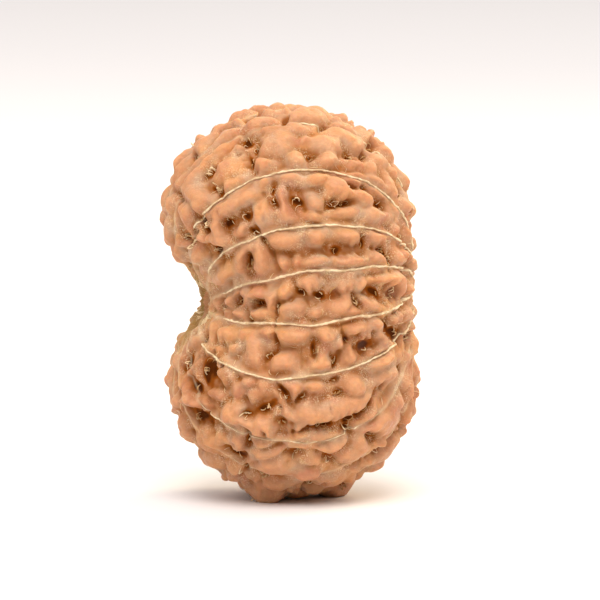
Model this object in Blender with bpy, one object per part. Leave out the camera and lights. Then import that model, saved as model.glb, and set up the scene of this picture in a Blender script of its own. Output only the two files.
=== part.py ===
"""A many-faced rudraksha bead: one grown, woody seed stone, standing on its long end."""

import math

import bmesh
import bpy
import numpy as np
from mathutils import Matrix, Vector

MM = 0.001

# Driving dimensions, in millimetres. X runs along the thread axis, Z along the long axis.
LENGTH = 34.0
FACE_COUNT = 20
CHANNEL_WIDTH = 2.2
CHANNEL_SIDES = 16

# The form is three rounded lobes melted together: centre, half sizes, and how square the
# profile is towards the left pole and towards the right pole.
LOBES = (
    ((-0.5, 0.3, 7.6), (10.5, 11.1, 9.1), 1.9, 2.0),
    ((0.1, 0.3, -6.9), (10.7, 11.3, 9.4), 2.0, 2.0),
    ((1.4, 1.0, 0.8), (9.3, 12.1, 13.5), 1.7, 2.6),
)
LOBE_BLEND = 20.0
FORM_REACH = 24.0
RING_STEPS = 400
SLOPE_STEP = 0.02
HALVINGS = 26

# The poles are the two ends of the thread axis, measured from the middle of the bead.
LEFT_POLE = np.array((-7.7, -0.8, -0.2))
RIGHT_POLE = np.array((10.3, 1.2, 1.6))

# Hollow round each pole: centre, half sizes, depth.
POLE_HOLLOWS = (
    ((-7.9, -1.5, -0.5), (3.0, 1.9, 1.8), 1.6),
    ((10.6, 1.6, 3.0), (3.0, 2.4, 7.0), 1.1),
)

# Marks on the front are laid out as they are seen from a little above the level.
VIEW_ELEVATION = math.radians(5.0)
VIEW_DISTANCE = 400.0

# Seams that cross the front, by the height at which each crosses the middle.
FRONT_SEAMS = (15.3, 11.4, 6.55, 2.45, -1.8, -6.45, -12.2)
SEAM_MIDDLE = 1.6

# How far each seam wavers from a plane, and over what length.
SEAM_WAVERS = ((0.12, 6.5), (0.045, 2.2))

# Relief over the smooth form: lumps rise from the valleys, melt into one another and flatten
# towards their crowns, sink towards each seam, and lie low near the poles. Pits narrow
# downwards, have ragged rims and lie in shallow dells. All marks are warped a little out of true.
VALLEY = -0.75
LUMP_RISE = 1.3
LUMP_EDGE = 0.85
LUMP_POWER = 2.4
LUMP_MELT = 3.6
LUMP_DEPTH = 2.4
CROWN_FROM = 0.08
CROWN_LIMIT = 0.5
SWELL = 0.13
SWELL_LENGTH = 3.0
SEAM_LEVEL = -0.32
SEAM_HALF = 0.1
SEAM_FLANK = 0.6
PIT_DEPTH = 2.6
PIT_FLOOR = 0.1
PIT_RIM = 1.5
PIT_RAGGED = 0.22
PIT_RAGGED_LENGTH = 0.9
RAGGED_WAVES = 12
DELL_DEPTH = 0.45
DELL_RIM = 3.2
HOLLOW_FLOOR = 0.2
HOLLOW_RIM = 1.2
POLE_CALM = (1.5, 7.0)
POLE_SHARE = 0.35
WARPS = ((0.2, 3.6), (0.06, 1.4))

# A mark near the rim is longer than it looks, up to this many times.
RIM_STRETCH = 1.7
NUDGE = 0.1

# The bead stands on three low lumps spread round its weight, each worn flat: the height of
# that flat, how far the lumps once reached past it, the small bumps up their sides, and each
# one's right, back and half width.
FLOOR = -16.8
FOOT_WEAR = 0.3
FOOT_EDGE = 0.9
FOOT_POWER = 2.1
FOOT_BUMPS = 0.5
FOOT_BUMP_LENGTH = 1.7
FEET = (
    (-2.2, -3.2, 2.0),
    (-2.9, 3.6, 2.2),
    (3.9, 1.2, 2.1),
)

# The solid's surface is thinned from a fine grid, once its sharpest edges are worn off.
GRID_CUTS = 110
WEAR_STEPS = 15
SOLID_TRIANGLES = 11300

# Lumps that grow by rule: half lengths from large to small, with the room each size takes.
SEED = 20
GROWN_SIZES = (1.7, 1.35, 1.05, 0.8)
GROWN_ROOM = 0.86
GROWN_SHARE = 0.85
GROWN_TRIES = 2600
GROWN_CLEARANCE = 0.45
GROWN_LEAN = math.radians(35)
GROWN_LENGTHS = (0.9, 1.2)
GROWN_WIDTHS = (0.6, 0.85)
GROWN_HEIGHTS = (0.7, 1.15)

# Pits that open by rule, sparser where the pits of the front are laid out.
PIT_TRIES = 5000
PIT_COUNT = 210
PIT_ROOM = 2.3
PIT_FRONT_ROOM = 3.3
PIT_FRONT_EDGE = -2.0
PIT_CLEARANCE = 0.5
PIT_LENGTHS = (0.35, 0.75)
PIT_WIDTHS = (0.5, 0.9)
PIT_DEPTHS = (0.6, 1.0)

# Lumps of the front: right, up, half length, half width, turn in degrees, height.
FRONT_LUMPS = (
    # top, down to the first seam
    (-2.9, 16.2, 1.6, 0.5, 3, 1.0), (-2.5, 15.2, 2.0, 0.7, 8, 1.0), (-4.7, 15.5, 0.5, 0.4, 30, 0.8),
    (-5.9, 15.0, 1.6, 0.5, 35, 0.9), (-5.8, 13.9, 1.6, 0.8, 32, 1.1), (-8.0, 13.3, 0.8, 0.7, 20, 1.1),
    (-9.6, 11.7, 1.5, 0.8, 65, 1.0), (-8.3, 11.2, 2.0, 0.8, 55, 1.0), (-10.4, 8.4, 1.1, 0.6, 80, 1.0),
    (-9.2, 7.6, 1.4, 0.5, 88, 0.9), (-8.2, 9.4, 1.3, 1.0, -35, 1.0), (-7.9, 7.9, 1.0, 0.7, -30, 1.0),
    (-5.6, 11.6, 1.5, 1.2, 0, 0.75), (-5.0, 10.0, 1.2, 0.6, 30, 1.0), (-7.3, 12.6, 1.0, 0.5, 50, 0.9),
    (-2.4, 11.8, 0.8, 0.7, 0, 1.1), (-1.5, 13.9, 1.7, 1.0, 0, 0.8), (0.2, 12.2, 1.0, 0.8, -5, 1.1),
    (-0.6, 16.4, 0.6, 0.4, 0, 0.7), (1.2, 15.8, 1.2, 1.1, -30, 1.2), (3.0, 16.0, 0.7, 0.4, -25, 0.7),
    (5.0, 15.5, 2.0, 0.4, -20, 0.9), (4.9, 14.2, 2.0, 0.9, -28, 1.3), (7.6, 13.8, 1.0, 0.7, -45, 1.0),
    (3.2, 13.5, 1.5, 0.8, -15, 0.9), (3.0, 12.2, 1.1, 0.6, 5, 1.1), (5.5, 12.1, 1.0, 0.6, -15, 1.0),
    (7.5, 12.1, 1.2, 1.0, -50, 0.9), (9.8, 9.8, 2.0, 0.6, -75, 0.9), (8.6, 9.9, 1.5, 0.7, -65, 0.8),
    # first to second seam
    (-2.6, 10.3, 0.7, 0.5, 0, 1.0), (-5.4, 8.4, 2.6, 0.8, 35, 1.0), (-2.5, 7.4, 1.2, 1.1, 0, 0.9),
    (-0.6, 8.3, 1.6, 0.6, 88, 1.0), (-6.5, 6.2, 1.3, 0.6, 60, 1.0), (-4.4, 6.2, 0.9, 0.6, 15, 0.9),
    (-10.5, 6.0, 1.0, 0.6, 85, 1.0), (-0.1, 10.6, 1.1, 0.6, 0, 1.0), (2.3, 10.6, 1.1, 0.6, 0, 1.1),
    (4.0, 9.5, 1.2, 0.8, -60, 1.3), (5.6, 10.6, 0.9, 0.5, -5, 1.1), (7.6, 9.7, 1.3, 0.5, -38, 1.1),
    (6.3, 8.9, 1.2, 0.7, -25, 1.0), (2.1, 8.8, 1.1, 0.7, 0, 0.8), (1.9, 7.4, 0.9, 0.5, -10, 1.0),
    (4.7, 7.7, 1.3, 0.6, 0, 1.0), (7.4, 7.4, 1.5, 0.7, -10, 0.9), (-0.2, 7.2, 0.7, 0.5, 0, 0.8),
    (8.9, 8.4, 1.1, 0.5, -75, 0.8),
    # second to third seam
    (-0.6, 5.3, 1.5, 0.7, 0, 1.2), (-4.5, 3.4, 1.2, 0.6, 80, 1.0), (-2.8, 3.4, 1.3, 0.8, 95, 1.0),
    (-3.7, 4.6, 0.9, 0.5, 10, 0.9), (-0.7, 3.4, 0.6, 0.6, 0, 0.9), (0.5, 3.6, 0.5, 0.3, 85, 0.8),
    (-6.3, 5.0, 1.0, 0.8, -50, 1.0), (-8.2, 3.6, 0.9, 0.6, 15, 0.9), (-9.7, 3.9, 1.4, 0.7, -65, 0.9),
    (-6.2, 2.1, 1.1, 0.7, 15, 1.0), (-7.6, 2.4, 0.8, 0.5, -50, 0.7), (2.4, 5.6, 1.1, 0.7, 0, 1.0),
    (5.0, 5.8, 1.0, 0.7, 0, 1.0), (7.5, 5.5, 1.0, 0.7, -15, 1.0), (2.2, 3.4, 1.3, 0.6, 3, 1.1),
    (5.1, 3.4, 1.5, 0.6, 4, 1.1), (7.6, 3.6, 1.0, 0.7, -10, 0.9), (9.3, 3.5, 1.0, 0.5, 85, 1.0),
    (10.3, 6.0, 1.0, 0.6, -80, 0.9),
    # third to fourth seam
    (-5.4, 0.3, 0.6, 0.5, 80, 0.9), (-6.6, -0.1, 0.5, 0.4, 85, 0.8), (-3.1, 0.9, 1.1, 0.5, 0, 1.0),
    (-2.8, -1.0, 1.0, 0.6, -10, 1.1), (-0.6, 1.2, 0.8, 0.7, 90, 0.9), (-0.1, -0.9, 1.1, 0.7, 0, 1.1),
    (-4.6, -0.9, 0.6, 0.4, 0, 0.8), (1.6, 1.4, 1.0, 0.8, -15, 1.2), (4.3, 1.2, 1.5, 0.7, 50, 0.8),
    (6.3, 1.7, 0.7, 0.6, 0, 0.8), (9.2, 1.2, 1.2, 0.8, 80, 1.1), (8.4, 1.9, 0.9, 0.4, -5, 1.0),
    (7.2, -0.3, 1.2, 0.7, -15, 0.9), (4.2, -0.4, 1.0, 0.8, 40, 0.9), (2.2, -1.2, 0.9, 0.4, 5, 0.9),
    (5.4, -1.0, 1.0, 0.4, 5, 0.8),
    # fourth to fifth seam
    (-5.8, -2.6, 0.8, 0.7, 0, 0.8), (-4.1, -2.6, 0.7, 0.6, 0, 0.8), (-3.2, -4.0, 1.4, 0.9, 100, 1.1),
    (0.0, -3.0, 1.5, 0.9, 0, 1.2), (-0.8, -5.2, 1.3, 0.7, -10, 1.0), (3.2, -2.7, 0.8, 0.7, 0, 1.0),
    (5.8, -2.4, 1.2, 0.5, 5, 1.0), (2.6, -5.0, 1.1, 0.9, 80, 1.3), (5.2, -4.9, 1.0, 0.9, 10, 0.9),
    (8.0, -4.6, 1.5, 0.7, 22, 1.0), (8.1, -3.1, 0.8, 0.6, -40, 0.9), (10.4, -2.3, 1.3, 0.5, 88, 1.0),
    (10.2, -4.9, 0.8, 0.5, 85, 0.9), (9.4, -1.4, 0.7, 0.4, 20, 0.9),
    # left of the lower half
    (-8.6, -1.8, 0.9, 0.5, 25, 0.9), (-9.8, -3.3, 0.9, 0.6, 35, 1.0), (-8.5, -3.2, 1.0, 0.5, 30, 0.9),
    (-7.5, -3.9, 1.0, 0.4, 10, 0.9), (-10.5, -5.9, 1.5, 0.6, 85, 1.0), (-9.0, -7.0, 1.2, 0.8, -55, 0.9),
    (-8.3, -5.6, 1.1, 0.6, -65, 0.9), (-6.0, -5.6, 1.3, 0.8, -70, 1.0), (-6.9, -7.7, 0.9, 0.6, -25, 1.0),
    (-8.4, -8.8, 1.2, 0.7, -15, 0.9), (-10.0, -8.5, 0.5, 0.4, 80, 0.8), (-9.3, -11.0, 1.8, 0.7, -85, 1.0),
    (-7.5, -11.6, 1.8, 0.9, -62, 1.0), (-7.0, -13.6, 1.1, 0.6, -25, 1.0),
    # below the fifth seam
    (-5.2, -9.9, 1.1, 0.9, -50, 1.1), (-6.0, -11.9, 1.0, 0.7, -70, 0.8), (-4.7, -12.2, 0.8, 0.7, -30, 1.0),
    (-2.6, -11.2, 1.2, 0.9, 90, 1.2), (-3.7, -10.6, 1.0, 0.5, -15, 1.0), (-2.5, -7.2, 0.8, 0.5, 90, 1.1),
    (-3.9, -6.9, 0.6, 0.5, 20, 0.9), (-5.0, -7.6, 0.9, 0.8, 0, 0.6), (-3.2, -8.2, 0.8, 0.6, -35, 0.7),
    (-0.7, -9.3, 1.4, 0.7, -35, 0.9), (0.1, -7.4, 0.9, 0.8, 90, 1.2), (2.2, -7.3, 0.8, 0.5, 0, 0.9),
    (5.4, -7.0, 1.0, 0.9, 0, 1.3), (8.3, -6.5, 1.7, 0.9, 20, 0.8), (4.5, -9.2, 2.9, 1.0, 22, 1.1),
    (1.5, -9.6, 1.5, 1.0, -10, 0.9), (0.6, -11.3, 0.8, 0.7, -60, 0.9), (3.2, -12.0, 2.0, 0.6, 5, 1.2),
    (4.7, -11.5, 0.5, 0.5, 0, 0.9), (7.8, -10.4, 1.6, 1.3, -20, 1.2), (6.0, -12.1, 0.9, 0.6, 80, 1.0),
    (5.2, -13.1, 1.4, 0.7, 15, 1.0), (7.5, -13.3, 1.9, 0.7, 30, 0.9), (8.7, -12.2, 0.9, 0.5, 40, 0.9),
    (10.1, -11.0, 1.4, 0.6, 75, 0.9), (10.4, -8.0, 2.0, 0.6, 88, 0.9), (9.2, -8.6, 1.1, 0.6, 75, 0.8),
    # foot
    (-2.2, -13.0, 1.6, 0.5, 0, 0.9), (1.9, -13.5, 0.8, 0.6, -20, 0.9), (-1.4, -14.2, 2.1, 0.8, -3, 0.9),
    (-4.9, -14.3, 0.8, 0.5, -35, 0.9), (-4.0, -15.6, 0.9, 0.7, -30, 1.0), (-1.2, -15.6, 1.7, 0.6, -5, 1.0),
    (-2.6, -16.5, 0.9, 0.4, -15, 1.0), (3.4, -15.2, 1.7, 1.0, 10, 1.1),
)

# Pits of the front: right, up, half length, half width, turn in degrees, depth.
FRONT_PITS = (
    (-3.9, 14.0, 0.5, 0.5, -60, 1.0), (-3.1, 13.4, 0.4, 0.2, 60, 0.8), (-3.6, 12.3, 0.7, 0.3, -65, 0.9),
    (-0.5, 15.7, 0.4, 0.2, 85, 0.7), (1.8, 12.7, 0.4, 0.2, 10, 0.8), (5.1, 12.7, 0.5, 0.3, -30, 0.9),
    (6.3, 12.6, 0.4, 0.2, 50, 0.6), (7.1, 13.5, 0.5, 0.3, 30, 0.5), (-8.5, 12.5, 0.3, 0.2, 80, 0.6),
    (-7.2, 11.3, 0.6, 0.3, 50, 0.6), (-6.8, 10.0, 0.5, 0.2, -50, 0.8), (-6.3, 9.5, 0.4, 0.3, -60, 0.6),
    (-9.7, 9.0, 0.5, 0.3, -40, 0.8), (-7.8, 7.1, 0.4, 0.3, 0, 1.0), (-7.6, 6.5, 0.4, 0.3, -30, 0.8),
    (-8.7, 6.1, 0.4, 0.2, 75, 0.7), (-9.4, 5.4, 0.3, 0.2, -20, 0.8), (-8.8, 4.9, 0.4, 0.2, 60, 0.5),
    (-1.6, 9.6, 0.5, 0.2, 75, 0.8), (-1.4, 8.6, 0.5, 0.3, -40, 1.0), (0.4, 8.8, 0.4, 0.4, 0, 1.0),
    (-4.0, 7.3, 0.5, 0.4, -30, 1.0), (-5.6, 6.8, 0.4, 0.4, 60, 1.0), (-3.3, 5.9, 0.5, 0.3, -30, 0.9),
    (3.8, 8.4, 0.4, 0.3, -20, 0.8), (4.7, 8.5, 0.5, 0.2, 10, 0.8), (7.9, 8.4, 0.4, 0.3, -45, 1.0),
    (5.4, 9.9, 0.4, 0.2, 0, 0.6), (6.6, 9.8, 0.4, 0.2, -20, 0.6), (-3.8, 3.0, 0.5, 0.3, 75, 1.0),
    (-2.4, 5.1, 0.5, 0.2, -55, 0.7), (6.3, 5.3, 0.7, 0.2, 80, 1.0), (4.1, 4.5, 0.5, 0.4, -25, 1.0),
    (8.3, 4.3, 0.5, 0.3, -40, 0.9), (8.8, 3.6, 0.6, 0.2, 80, 0.8), (-6.6, 4.0, 0.6, 0.3, -25, 0.9),
    (9.6, 6.0, 0.6, 0.3, -70, 0.7), (10.0, 2.0, 2.2, 0.2, 88, 0.8), (0.7, 0.8, 0.6, 0.3, -45, 1.0),
    (2.5, 0.5, 0.5, 0.4, 0, 1.1), (3.6, 0.6, 0.9, 0.5, 45, 0.4), (5.6, 0.1, 0.5, 0.2, -70, 1.0),
    (7.7, 0.9, 0.7, 0.4, -35, 1.0), (8.9, 0.8, 0.7, 0.5, -30, 0.4), (-3.1, 0.0, 0.4, 0.3, 10, 1.0),
    (-4.6, 0.2, 0.4, 0.2, 60, 0.9), (-6.1, -0.3, 0.4, 0.2, 80, 0.8), (-3.6, -1.2, 0.4, 0.2, -45, 0.7),
    (-1.5, -0.6, 0.8, 0.2, 80, 0.5), (2.1, -4.0, 0.5, 0.3, 65, 0.8), (4.8, -3.3, 0.4, 0.3, 0, 1.0),
    (6.7, -3.9, 0.7, 0.5, 20, 1.0), (8.6, -1.9, 0.4, 0.3, -30, 0.9), (9.2, -2.7, 0.8, 0.4, -50, 1.0),
    (3.7, -4.9, 0.5, 0.2, 80, 0.9), (-1.7, -3.3, 0.6, 0.2, 85, 0.5), (-2.0, -4.5, 0.5, 0.3, 60, 0.6),
    (-7.8, -2.9, 0.5, 0.3, 45, 0.8), (-7.5, -5.6, 1.3, 0.8, -60, 1.1), (-9.3, -5.1, 0.7, 0.3, 65, 0.9),
    (-8.6, -7.1, 0.8, 0.4, -50, 1.0), (-9.7, -8.0, 0.4, 0.3, -60, 0.8), (-8.2, -10.0, 0.9, 0.5, -10, 1.0),
    (-8.1, -12.3, 0.7, 0.2, -62, 0.7), (-4.0, -9.8, 0.4, 0.3, 0, 1.0), (-2.4, -9.2, 0.9, 0.4, 20, 0.9),
    (-0.9, -10.5, 0.4, 0.4, -60, 0.7), (-3.6, -12.1, 0.4, 0.3, 75, 1.0), (-4.9, -13.3, 0.8, 0.4, -15, 1.0),
    (-4.2, -14.4, 0.3, 0.2, 60, 0.8), (-2.3, -15.0, 0.6, 0.2, 10, 0.6), (-3.0, -15.8, 0.4, 0.2, -20, 0.7),
    (5.2, -10.1, 0.7, 0.3, 28, 1.0), (6.4, -9.2, 1.4, 0.2, 48, 1.0), (5.0, -10.9, 0.5, 0.4, -40, 1.0),
    (2.6, -10.9, 2.0, 0.2, 10, 0.9), (7.0, -11.6, 0.4, 0.3, 0, 0.8), (3.3, -13.8, 0.6, 0.5, 30, 0.5),
    (0.3, -13.3, 0.5, 0.3, 20, 0.5), (3.6, -6.8, 0.3, 0.2, 0, 0.6), (4.1, -7.8, 0.4, 0.2, 30, 0.7),
    (-0.8, -7.9, 0.7, 0.3, -60, 0.9), (0.8, -8.2, 0.5, 0.2, 25, 0.7), (1.5, -15.8, 0.8, 0.3, 15, 0.6),
    (7.7, -12.8, 1.6, 0.2, 38, 0.6), (9.6, -10.5, 0.8, 0.2, 75, 0.6), (2.9, 15.1, 0.4, 0.2, 10, 0.5),
)


def unit(vectors):
    """The vectors with length one."""
    return vectors / np.linalg.norm(vectors, axis=-1, keepdims=True)


def smooth_step(values, low, high):
    """Zero below low, one above high, and a soft rise between them."""
    share = np.clip((values - low) / (high - low), 0, 1)
    return share * share * (3 - 2 * share)


def ripple(points, wavelength, seed, waves=7):
    """Smooth unevenness, mostly between minus one and one."""
    draw = np.random.default_rng(seed)
    total = np.zeros(len(points))
    for _ in range(waves):
        direction = unit(draw.normal(size=3))
        pace = 2 * math.pi * draw.uniform(0.75, 1.35) / wavelength
        total += np.sin(points @ direction * pace + draw.uniform(0, 2 * math.pi))
    return total / math.sqrt(waves)


def lobe_level(points, centre, half, left_power, right_power):
    """One on the lobe's surface, less inside it."""
    scaled = (points - centre) / half
    along = np.abs(scaled[:, 0])
    across = np.hypot(scaled[:, 1], scaled[:, 2])
    power = np.where(scaled[:, 0] < 0, left_power, right_power)
    return (along**power + across**power) ** (1 / power)


def form_level(points):
    """Below zero inside the smooth form, above zero outside it."""
    total = sum(np.exp(-LOBE_BLEND * (lobe_level(points, *lobe) - 1)) for lobe in LOBES)
    return -np.log(total) / LOBE_BLEND


def form_normals(points):
    """Outward normals of the smooth form."""
    slopes = [
        form_level(points + SLOPE_STEP * axis) - form_level(points - SLOPE_STEP * axis)
        for axis in np.eye(3)
    ]
    return unit(np.stack(slopes, axis=1))


def meet_form(starts, directions, near, far):
    """Where each ray crosses the form, between the distances near and far."""
    near = np.full(len(directions), near)
    far = np.full(len(directions), far)
    inside_first = form_level(starts + near[:, None] * directions) < 0
    for _ in range(HALVINGS):
        middle = (near + far) / 2
        inside = form_level(starts + middle[:, None] * directions) < 0
        keep_far = inside == inside_first
        near = np.where(keep_far, middle, near)
        far = np.where(keep_far, far, middle)
    return starts + near[:, None] * directions


def form_points(directions):
    """Points of the form in these directions from its middle."""
    return meet_form(np.zeros_like(directions), directions, 0.0, FORM_REACH)


def seen_point(right, up):
    """Points of the form that are seen at these millimetres right of and above its middle."""
    back = np.array((0, -math.cos(VIEW_ELEVATION), math.sin(VIEW_ELEVATION)))
    upward = np.array((0, math.sin(VIEW_ELEVATION), math.cos(VIEW_ELEVATION)))
    eye = VIEW_DISTANCE * back
    aims = np.outer(right, (1.0, 0, 0)) + np.outer(up, upward)
    rays = unit(aims - eye)
    return meet_form(
        np.broadcast_to(eye, rays.shape), rays, VIEW_DISTANCE - FORM_REACH, VIEW_DISTANCE)


def thread_frame():
    """The thread axis, with the directions towards the top and towards the back."""
    axis = unit(RIGHT_POLE - LEFT_POLE)
    top = unit(np.array((0, 0, 1.0)) - axis[2] * axis)
    return axis, top, np.cross(top, axis)


def thread_radius(points):
    """Distance from the thread axis."""
    axis, top, back = thread_frame()
    offsets = points - LEFT_POLE
    return np.hypot(offsets @ top, offsets @ back)


def seam_angle(points):
    """Turn about the thread axis, zero at the front and growing over the top."""
    axis, top, back = thread_frame()
    offsets = points - LEFT_POLE
    return np.arctan2(offsets @ top, -(offsets @ back))


def seam_angles():
    """The turn of each seam: those of the front where they are seen, the rest spaced evenly."""
    front = seam_angle(seen_point(np.full(len(FRONT_SEAMS), SEAM_MIDDLE), FRONT_SEAMS))
    hidden = FACE_COUNT - len(front)
    axis, top, back = thread_frame()
    turns = np.linspace(front[0], front[-1] + 2 * math.pi, RING_STEPS)
    centre = (LEFT_POLE + RIGHT_POLE) / 2
    rays = np.sin(turns)[:, None] * top - np.cos(turns)[:, None] * back
    ring = meet_form(np.broadcast_to(centre, rays.shape), rays, 0.0, FORM_REACH)
    lengths = np.concatenate([[0], np.cumsum(np.linalg.norm(np.diff(ring, axis=0), axis=1))])
    steps = np.linspace(0, lengths[-1], hidden + 2)[1:-1]
    return np.concatenate([front, np.interp(steps, lengths, turns)])


def seam_distance(points):
    """Distance to the nearest seam, whose thread wavers a little."""
    radius = thread_radius(points)
    turns = seam_angle(points)
    waver = sum(size * ripple(points, length, SEED + round(length)) for size, length in SEAM_WAVERS)
    nearest = np.full(len(points), FORM_REACH)
    for seam in seam_angles():
        swing = np.sin(turns - seam)
        facing = np.cos(turns - seam) > 0
        nearest = np.where(facing, np.minimum(nearest, np.abs(swing * radius + waver)), nearest)
    return nearest


def placed(centres, longs, half_lengths, half_widths, heights):
    """Marks on the form: centre, normal, long direction, cross direction and sizes."""
    normals = form_normals(centres)
    longs = unit(longs - np.sum(longs * normals, axis=1)[:, None] * normals)
    return list(zip(centres, normals, longs, np.cross(normals, longs),
                    half_lengths, half_widths, heights))


def front_marks(rows):
    """Marks laid out as seen: near the rim their seen size is a foreshortened one."""
    right, up, half_length, half_width, turn, height = np.array(rows, float).T
    turn = np.radians(turn)
    centres = seen_point(right, up)
    longs = seen_point(right + NUDGE * np.cos(turn), up + NUDGE * np.sin(turn)) - centres
    crosses = seen_point(right - NUDGE * np.sin(turn), up + NUDGE * np.cos(turn)) - centres
    half_length *= np.clip(np.linalg.norm(longs, axis=1) / NUDGE, 1, RIM_STRETCH)
    half_width *= np.clip(np.linalg.norm(crosses, axis=1) / NUDGE, 1, RIM_STRETCH)
    return placed(centres, longs, half_length, half_width, height)


def foot_marks():
    """The lumps that the bead stands on, as high as each needs to pass the floor."""
    right, back, half_width = np.array(FEET).T
    centres = form_points(unit(np.stack([right, back, np.full(len(right), FLOOR)], axis=1)))
    normals = form_normals(centres)
    heights = (centres[:, 2] - FLOOR + FOOT_WEAR) / -normals[:, 2]
    longs = np.tile((1.0, 0.0, 0.0), (len(right), 1))
    return placed(centres, longs, half_width, half_width, (heights - VALLEY) / LUMP_RISE)


def reach(points, mark):
    """Zero at the middle of a mark, one on its edge."""
    centre, normal, long, cross, half_length, half_width, height = mark
    offsets = points - centre
    along = offsets @ long / half_length
    across = offsets @ cross / half_width
    depth = offsets @ normal / LUMP_DEPTH
    return np.sqrt(along**2 + across**2 + depth**2)


def lump_field(points, lumps):
    """Height of the lumps, which melt into one another over the valleys."""
    total = np.full(len(points), math.exp(LUMP_MELT * VALLEY))
    for lump in lumps:
        rise = LUMP_RISE * lump[-1] * np.exp(-LUMP_EDGE * reach(points, lump) ** LUMP_POWER)
        total += np.exp(LUMP_MELT * (VALLEY + rise)) - math.exp(LUMP_MELT * VALLEY)
    height = np.log(total) / LUMP_MELT
    over = np.maximum(height - CROWN_FROM, 0)
    return np.minimum(height, CROWN_FROM) + CROWN_LIMIT * np.tanh(over / CROWN_LIMIT)


def foot_field(points, feet):
    """Height of the lumps that the bead stands on."""
    height = np.full(len(points), VALLEY)
    bumps = FOOT_BUMPS * ripple(points, FOOT_BUMP_LENGTH, SEED + 21)
    for foot in feet:
        rise = np.exp(-FOOT_EDGE * reach(points, foot) ** FOOT_POWER)
        bulge = LUMP_RISE * foot[-1] * rise + bumps * smooth_step(rise, 0.0, 0.3) * (1 - rise)
        height = np.maximum(height, VALLEY + bulge)
    return height


def grown_lumps(lumps):
    """Lumps that fill the rest of the bead, large ones first, each keeping its room."""
    draw = np.random.default_rng(SEED)
    axis = thread_frame()[0]
    lumps = list(lumps)
    centres = [lump[0] for lump in lumps]
    rooms = [math.sqrt(lump[4] * lump[5]) for lump in lumps]
    for size in GROWN_SIZES:
        candidates = form_points(unit(draw.normal(size=(GROWN_TRIES, 3))))
        clear = seam_distance(candidates) > GROWN_CLEARANCE * size
        kept = []
        for candidate in candidates[clear]:
            gaps = np.linalg.norm(np.array(centres) - candidate, axis=1)
            if np.all(gaps > GROWN_ROOM * (size + np.array(rooms))):
                centres.append(candidate)
                rooms.append(size * GROWN_SHARE)
                kept.append(candidate)
        kept = np.array(kept)
        normals = form_normals(kept)
        lean = draw.normal(0, GROWN_LEAN, len(kept))[:, None]
        longs = np.cos(lean) * axis + np.sin(lean) * np.cross(normals, axis)
        lengths = size * draw.uniform(*GROWN_LENGTHS, len(kept))
        widths = size * draw.uniform(*GROWN_WIDTHS, len(kept))
        lumps += placed(kept, longs, lengths, widths, draw.uniform(*GROWN_HEIGHTS, len(kept)))
    return lumps


def grown_pits(pits, lumps):
    """Pits in the deepest places that the lumps leave, apart from one another."""
    draw = np.random.default_rng(SEED + 2)
    candidates = form_points(unit(draw.normal(size=(PIT_TRIES, 3))))
    candidates = candidates[seam_distance(candidates) > PIT_CLEARANCE]
    order = np.argsort(lump_field(candidates, lumps))
    centres = [pit[0] for pit in pits]
    kept = []
    for candidate in candidates[order]:
        room = PIT_FRONT_ROOM if candidate[1] < PIT_FRONT_EDGE else PIT_ROOM
        if np.all(np.linalg.norm(np.array(centres) - candidate, axis=1) > room):
            centres.append(candidate)
            kept.append(candidate)
    kept = np.array(kept[:PIT_COUNT])
    longs = draw.normal(size=kept.shape)
    lengths = draw.uniform(*PIT_LENGTHS, len(kept))
    widths = lengths * draw.uniform(*PIT_WIDTHS, len(kept))
    return list(pits) + placed(kept, longs, lengths, widths, draw.uniform(*PIT_DEPTHS, len(kept)))


def relief(points):
    """Height of the surface over the smooth form."""
    lumps = grown_lumps(front_marks(FRONT_LUMPS))
    pits = grown_pits(front_marks(FRONT_PITS), lumps)
    bent = points.copy()
    for size, length in WARPS:
        bent += size * np.stack([ripple(points, length, SEED + 3 + i) for i in range(3)], axis=1)
    calm = smooth_step(thread_radius(points), *POLE_CALM)
    flank = smooth_step(seam_distance(points), 0.0, SEAM_HALF + SEAM_FLANK * calm)
    flank *= POLE_SHARE + (1 - POLE_SHARE) * calm
    swell = SWELL * ripple(points, SWELL_LENGTH, SEED + 9)
    height = SEAM_LEVEL + (lump_field(bent, lumps) + swell - SEAM_LEVEL) * flank
    ragged = 1 + PIT_RAGGED * ripple(points, PIT_RAGGED_LENGTH, SEED + 8, RAGGED_WAVES)
    depth = np.zeros(len(points))
    dell = np.zeros(len(points))
    for pit in pits:
        spread = reach(bent, pit) * ragged
        depth = np.maximum(depth, pit[-1] * (1 - smooth_step(spread, PIT_FLOOR, PIT_RIM)))
        dell = np.maximum(dell, pit[-1] * (1 - smooth_step(spread, PIT_RIM / 2, DELL_RIM)))
    height -= PIT_DEPTH * depth + DELL_DEPTH * dell * flank
    for centre, half, hollow in POLE_HOLLOWS:
        spread = np.linalg.norm((points - centre) / half, axis=1)
        height -= hollow * (1 - smooth_step(spread, HOLLOW_FLOOR, HOLLOW_RIM))
    return np.maximum(height, foot_field(points, foot_marks()))


def bead_points(directions):
    """Points of the finished surface in these directions from its middle."""
    points = form_points(directions)
    return points + relief(points)[:, None] * form_normals(points)


def sphere_grid(cuts):
    """A mesh of an evenly divided cube, and its vertices spread on the unit sphere."""
    grid = bmesh.new()
    bmesh.ops.create_cube(grid, size=2.0)
    bmesh.ops.subdivide_edges(grid, edges=grid.edges, cuts=cuts, use_grid_fill=True)
    points = np.array([vertex.co for vertex in grid.verts])
    return grid, unit(np.tan(points * math.pi / 4))


def bead_material():
    """Tan, waxy seed wood."""
    material = bpy.data.materials.new("bead")
    material.use_nodes = True
    shader = material.node_tree.nodes["Principled BSDF"]
    shader.inputs["Base Color"].default_value = (0.6, 0.28, 0.125, 1.0)
    shader.inputs["Roughness"].default_value = 0.5
    shader.inputs["Metallic"].default_value = 0.0
    return material


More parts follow.
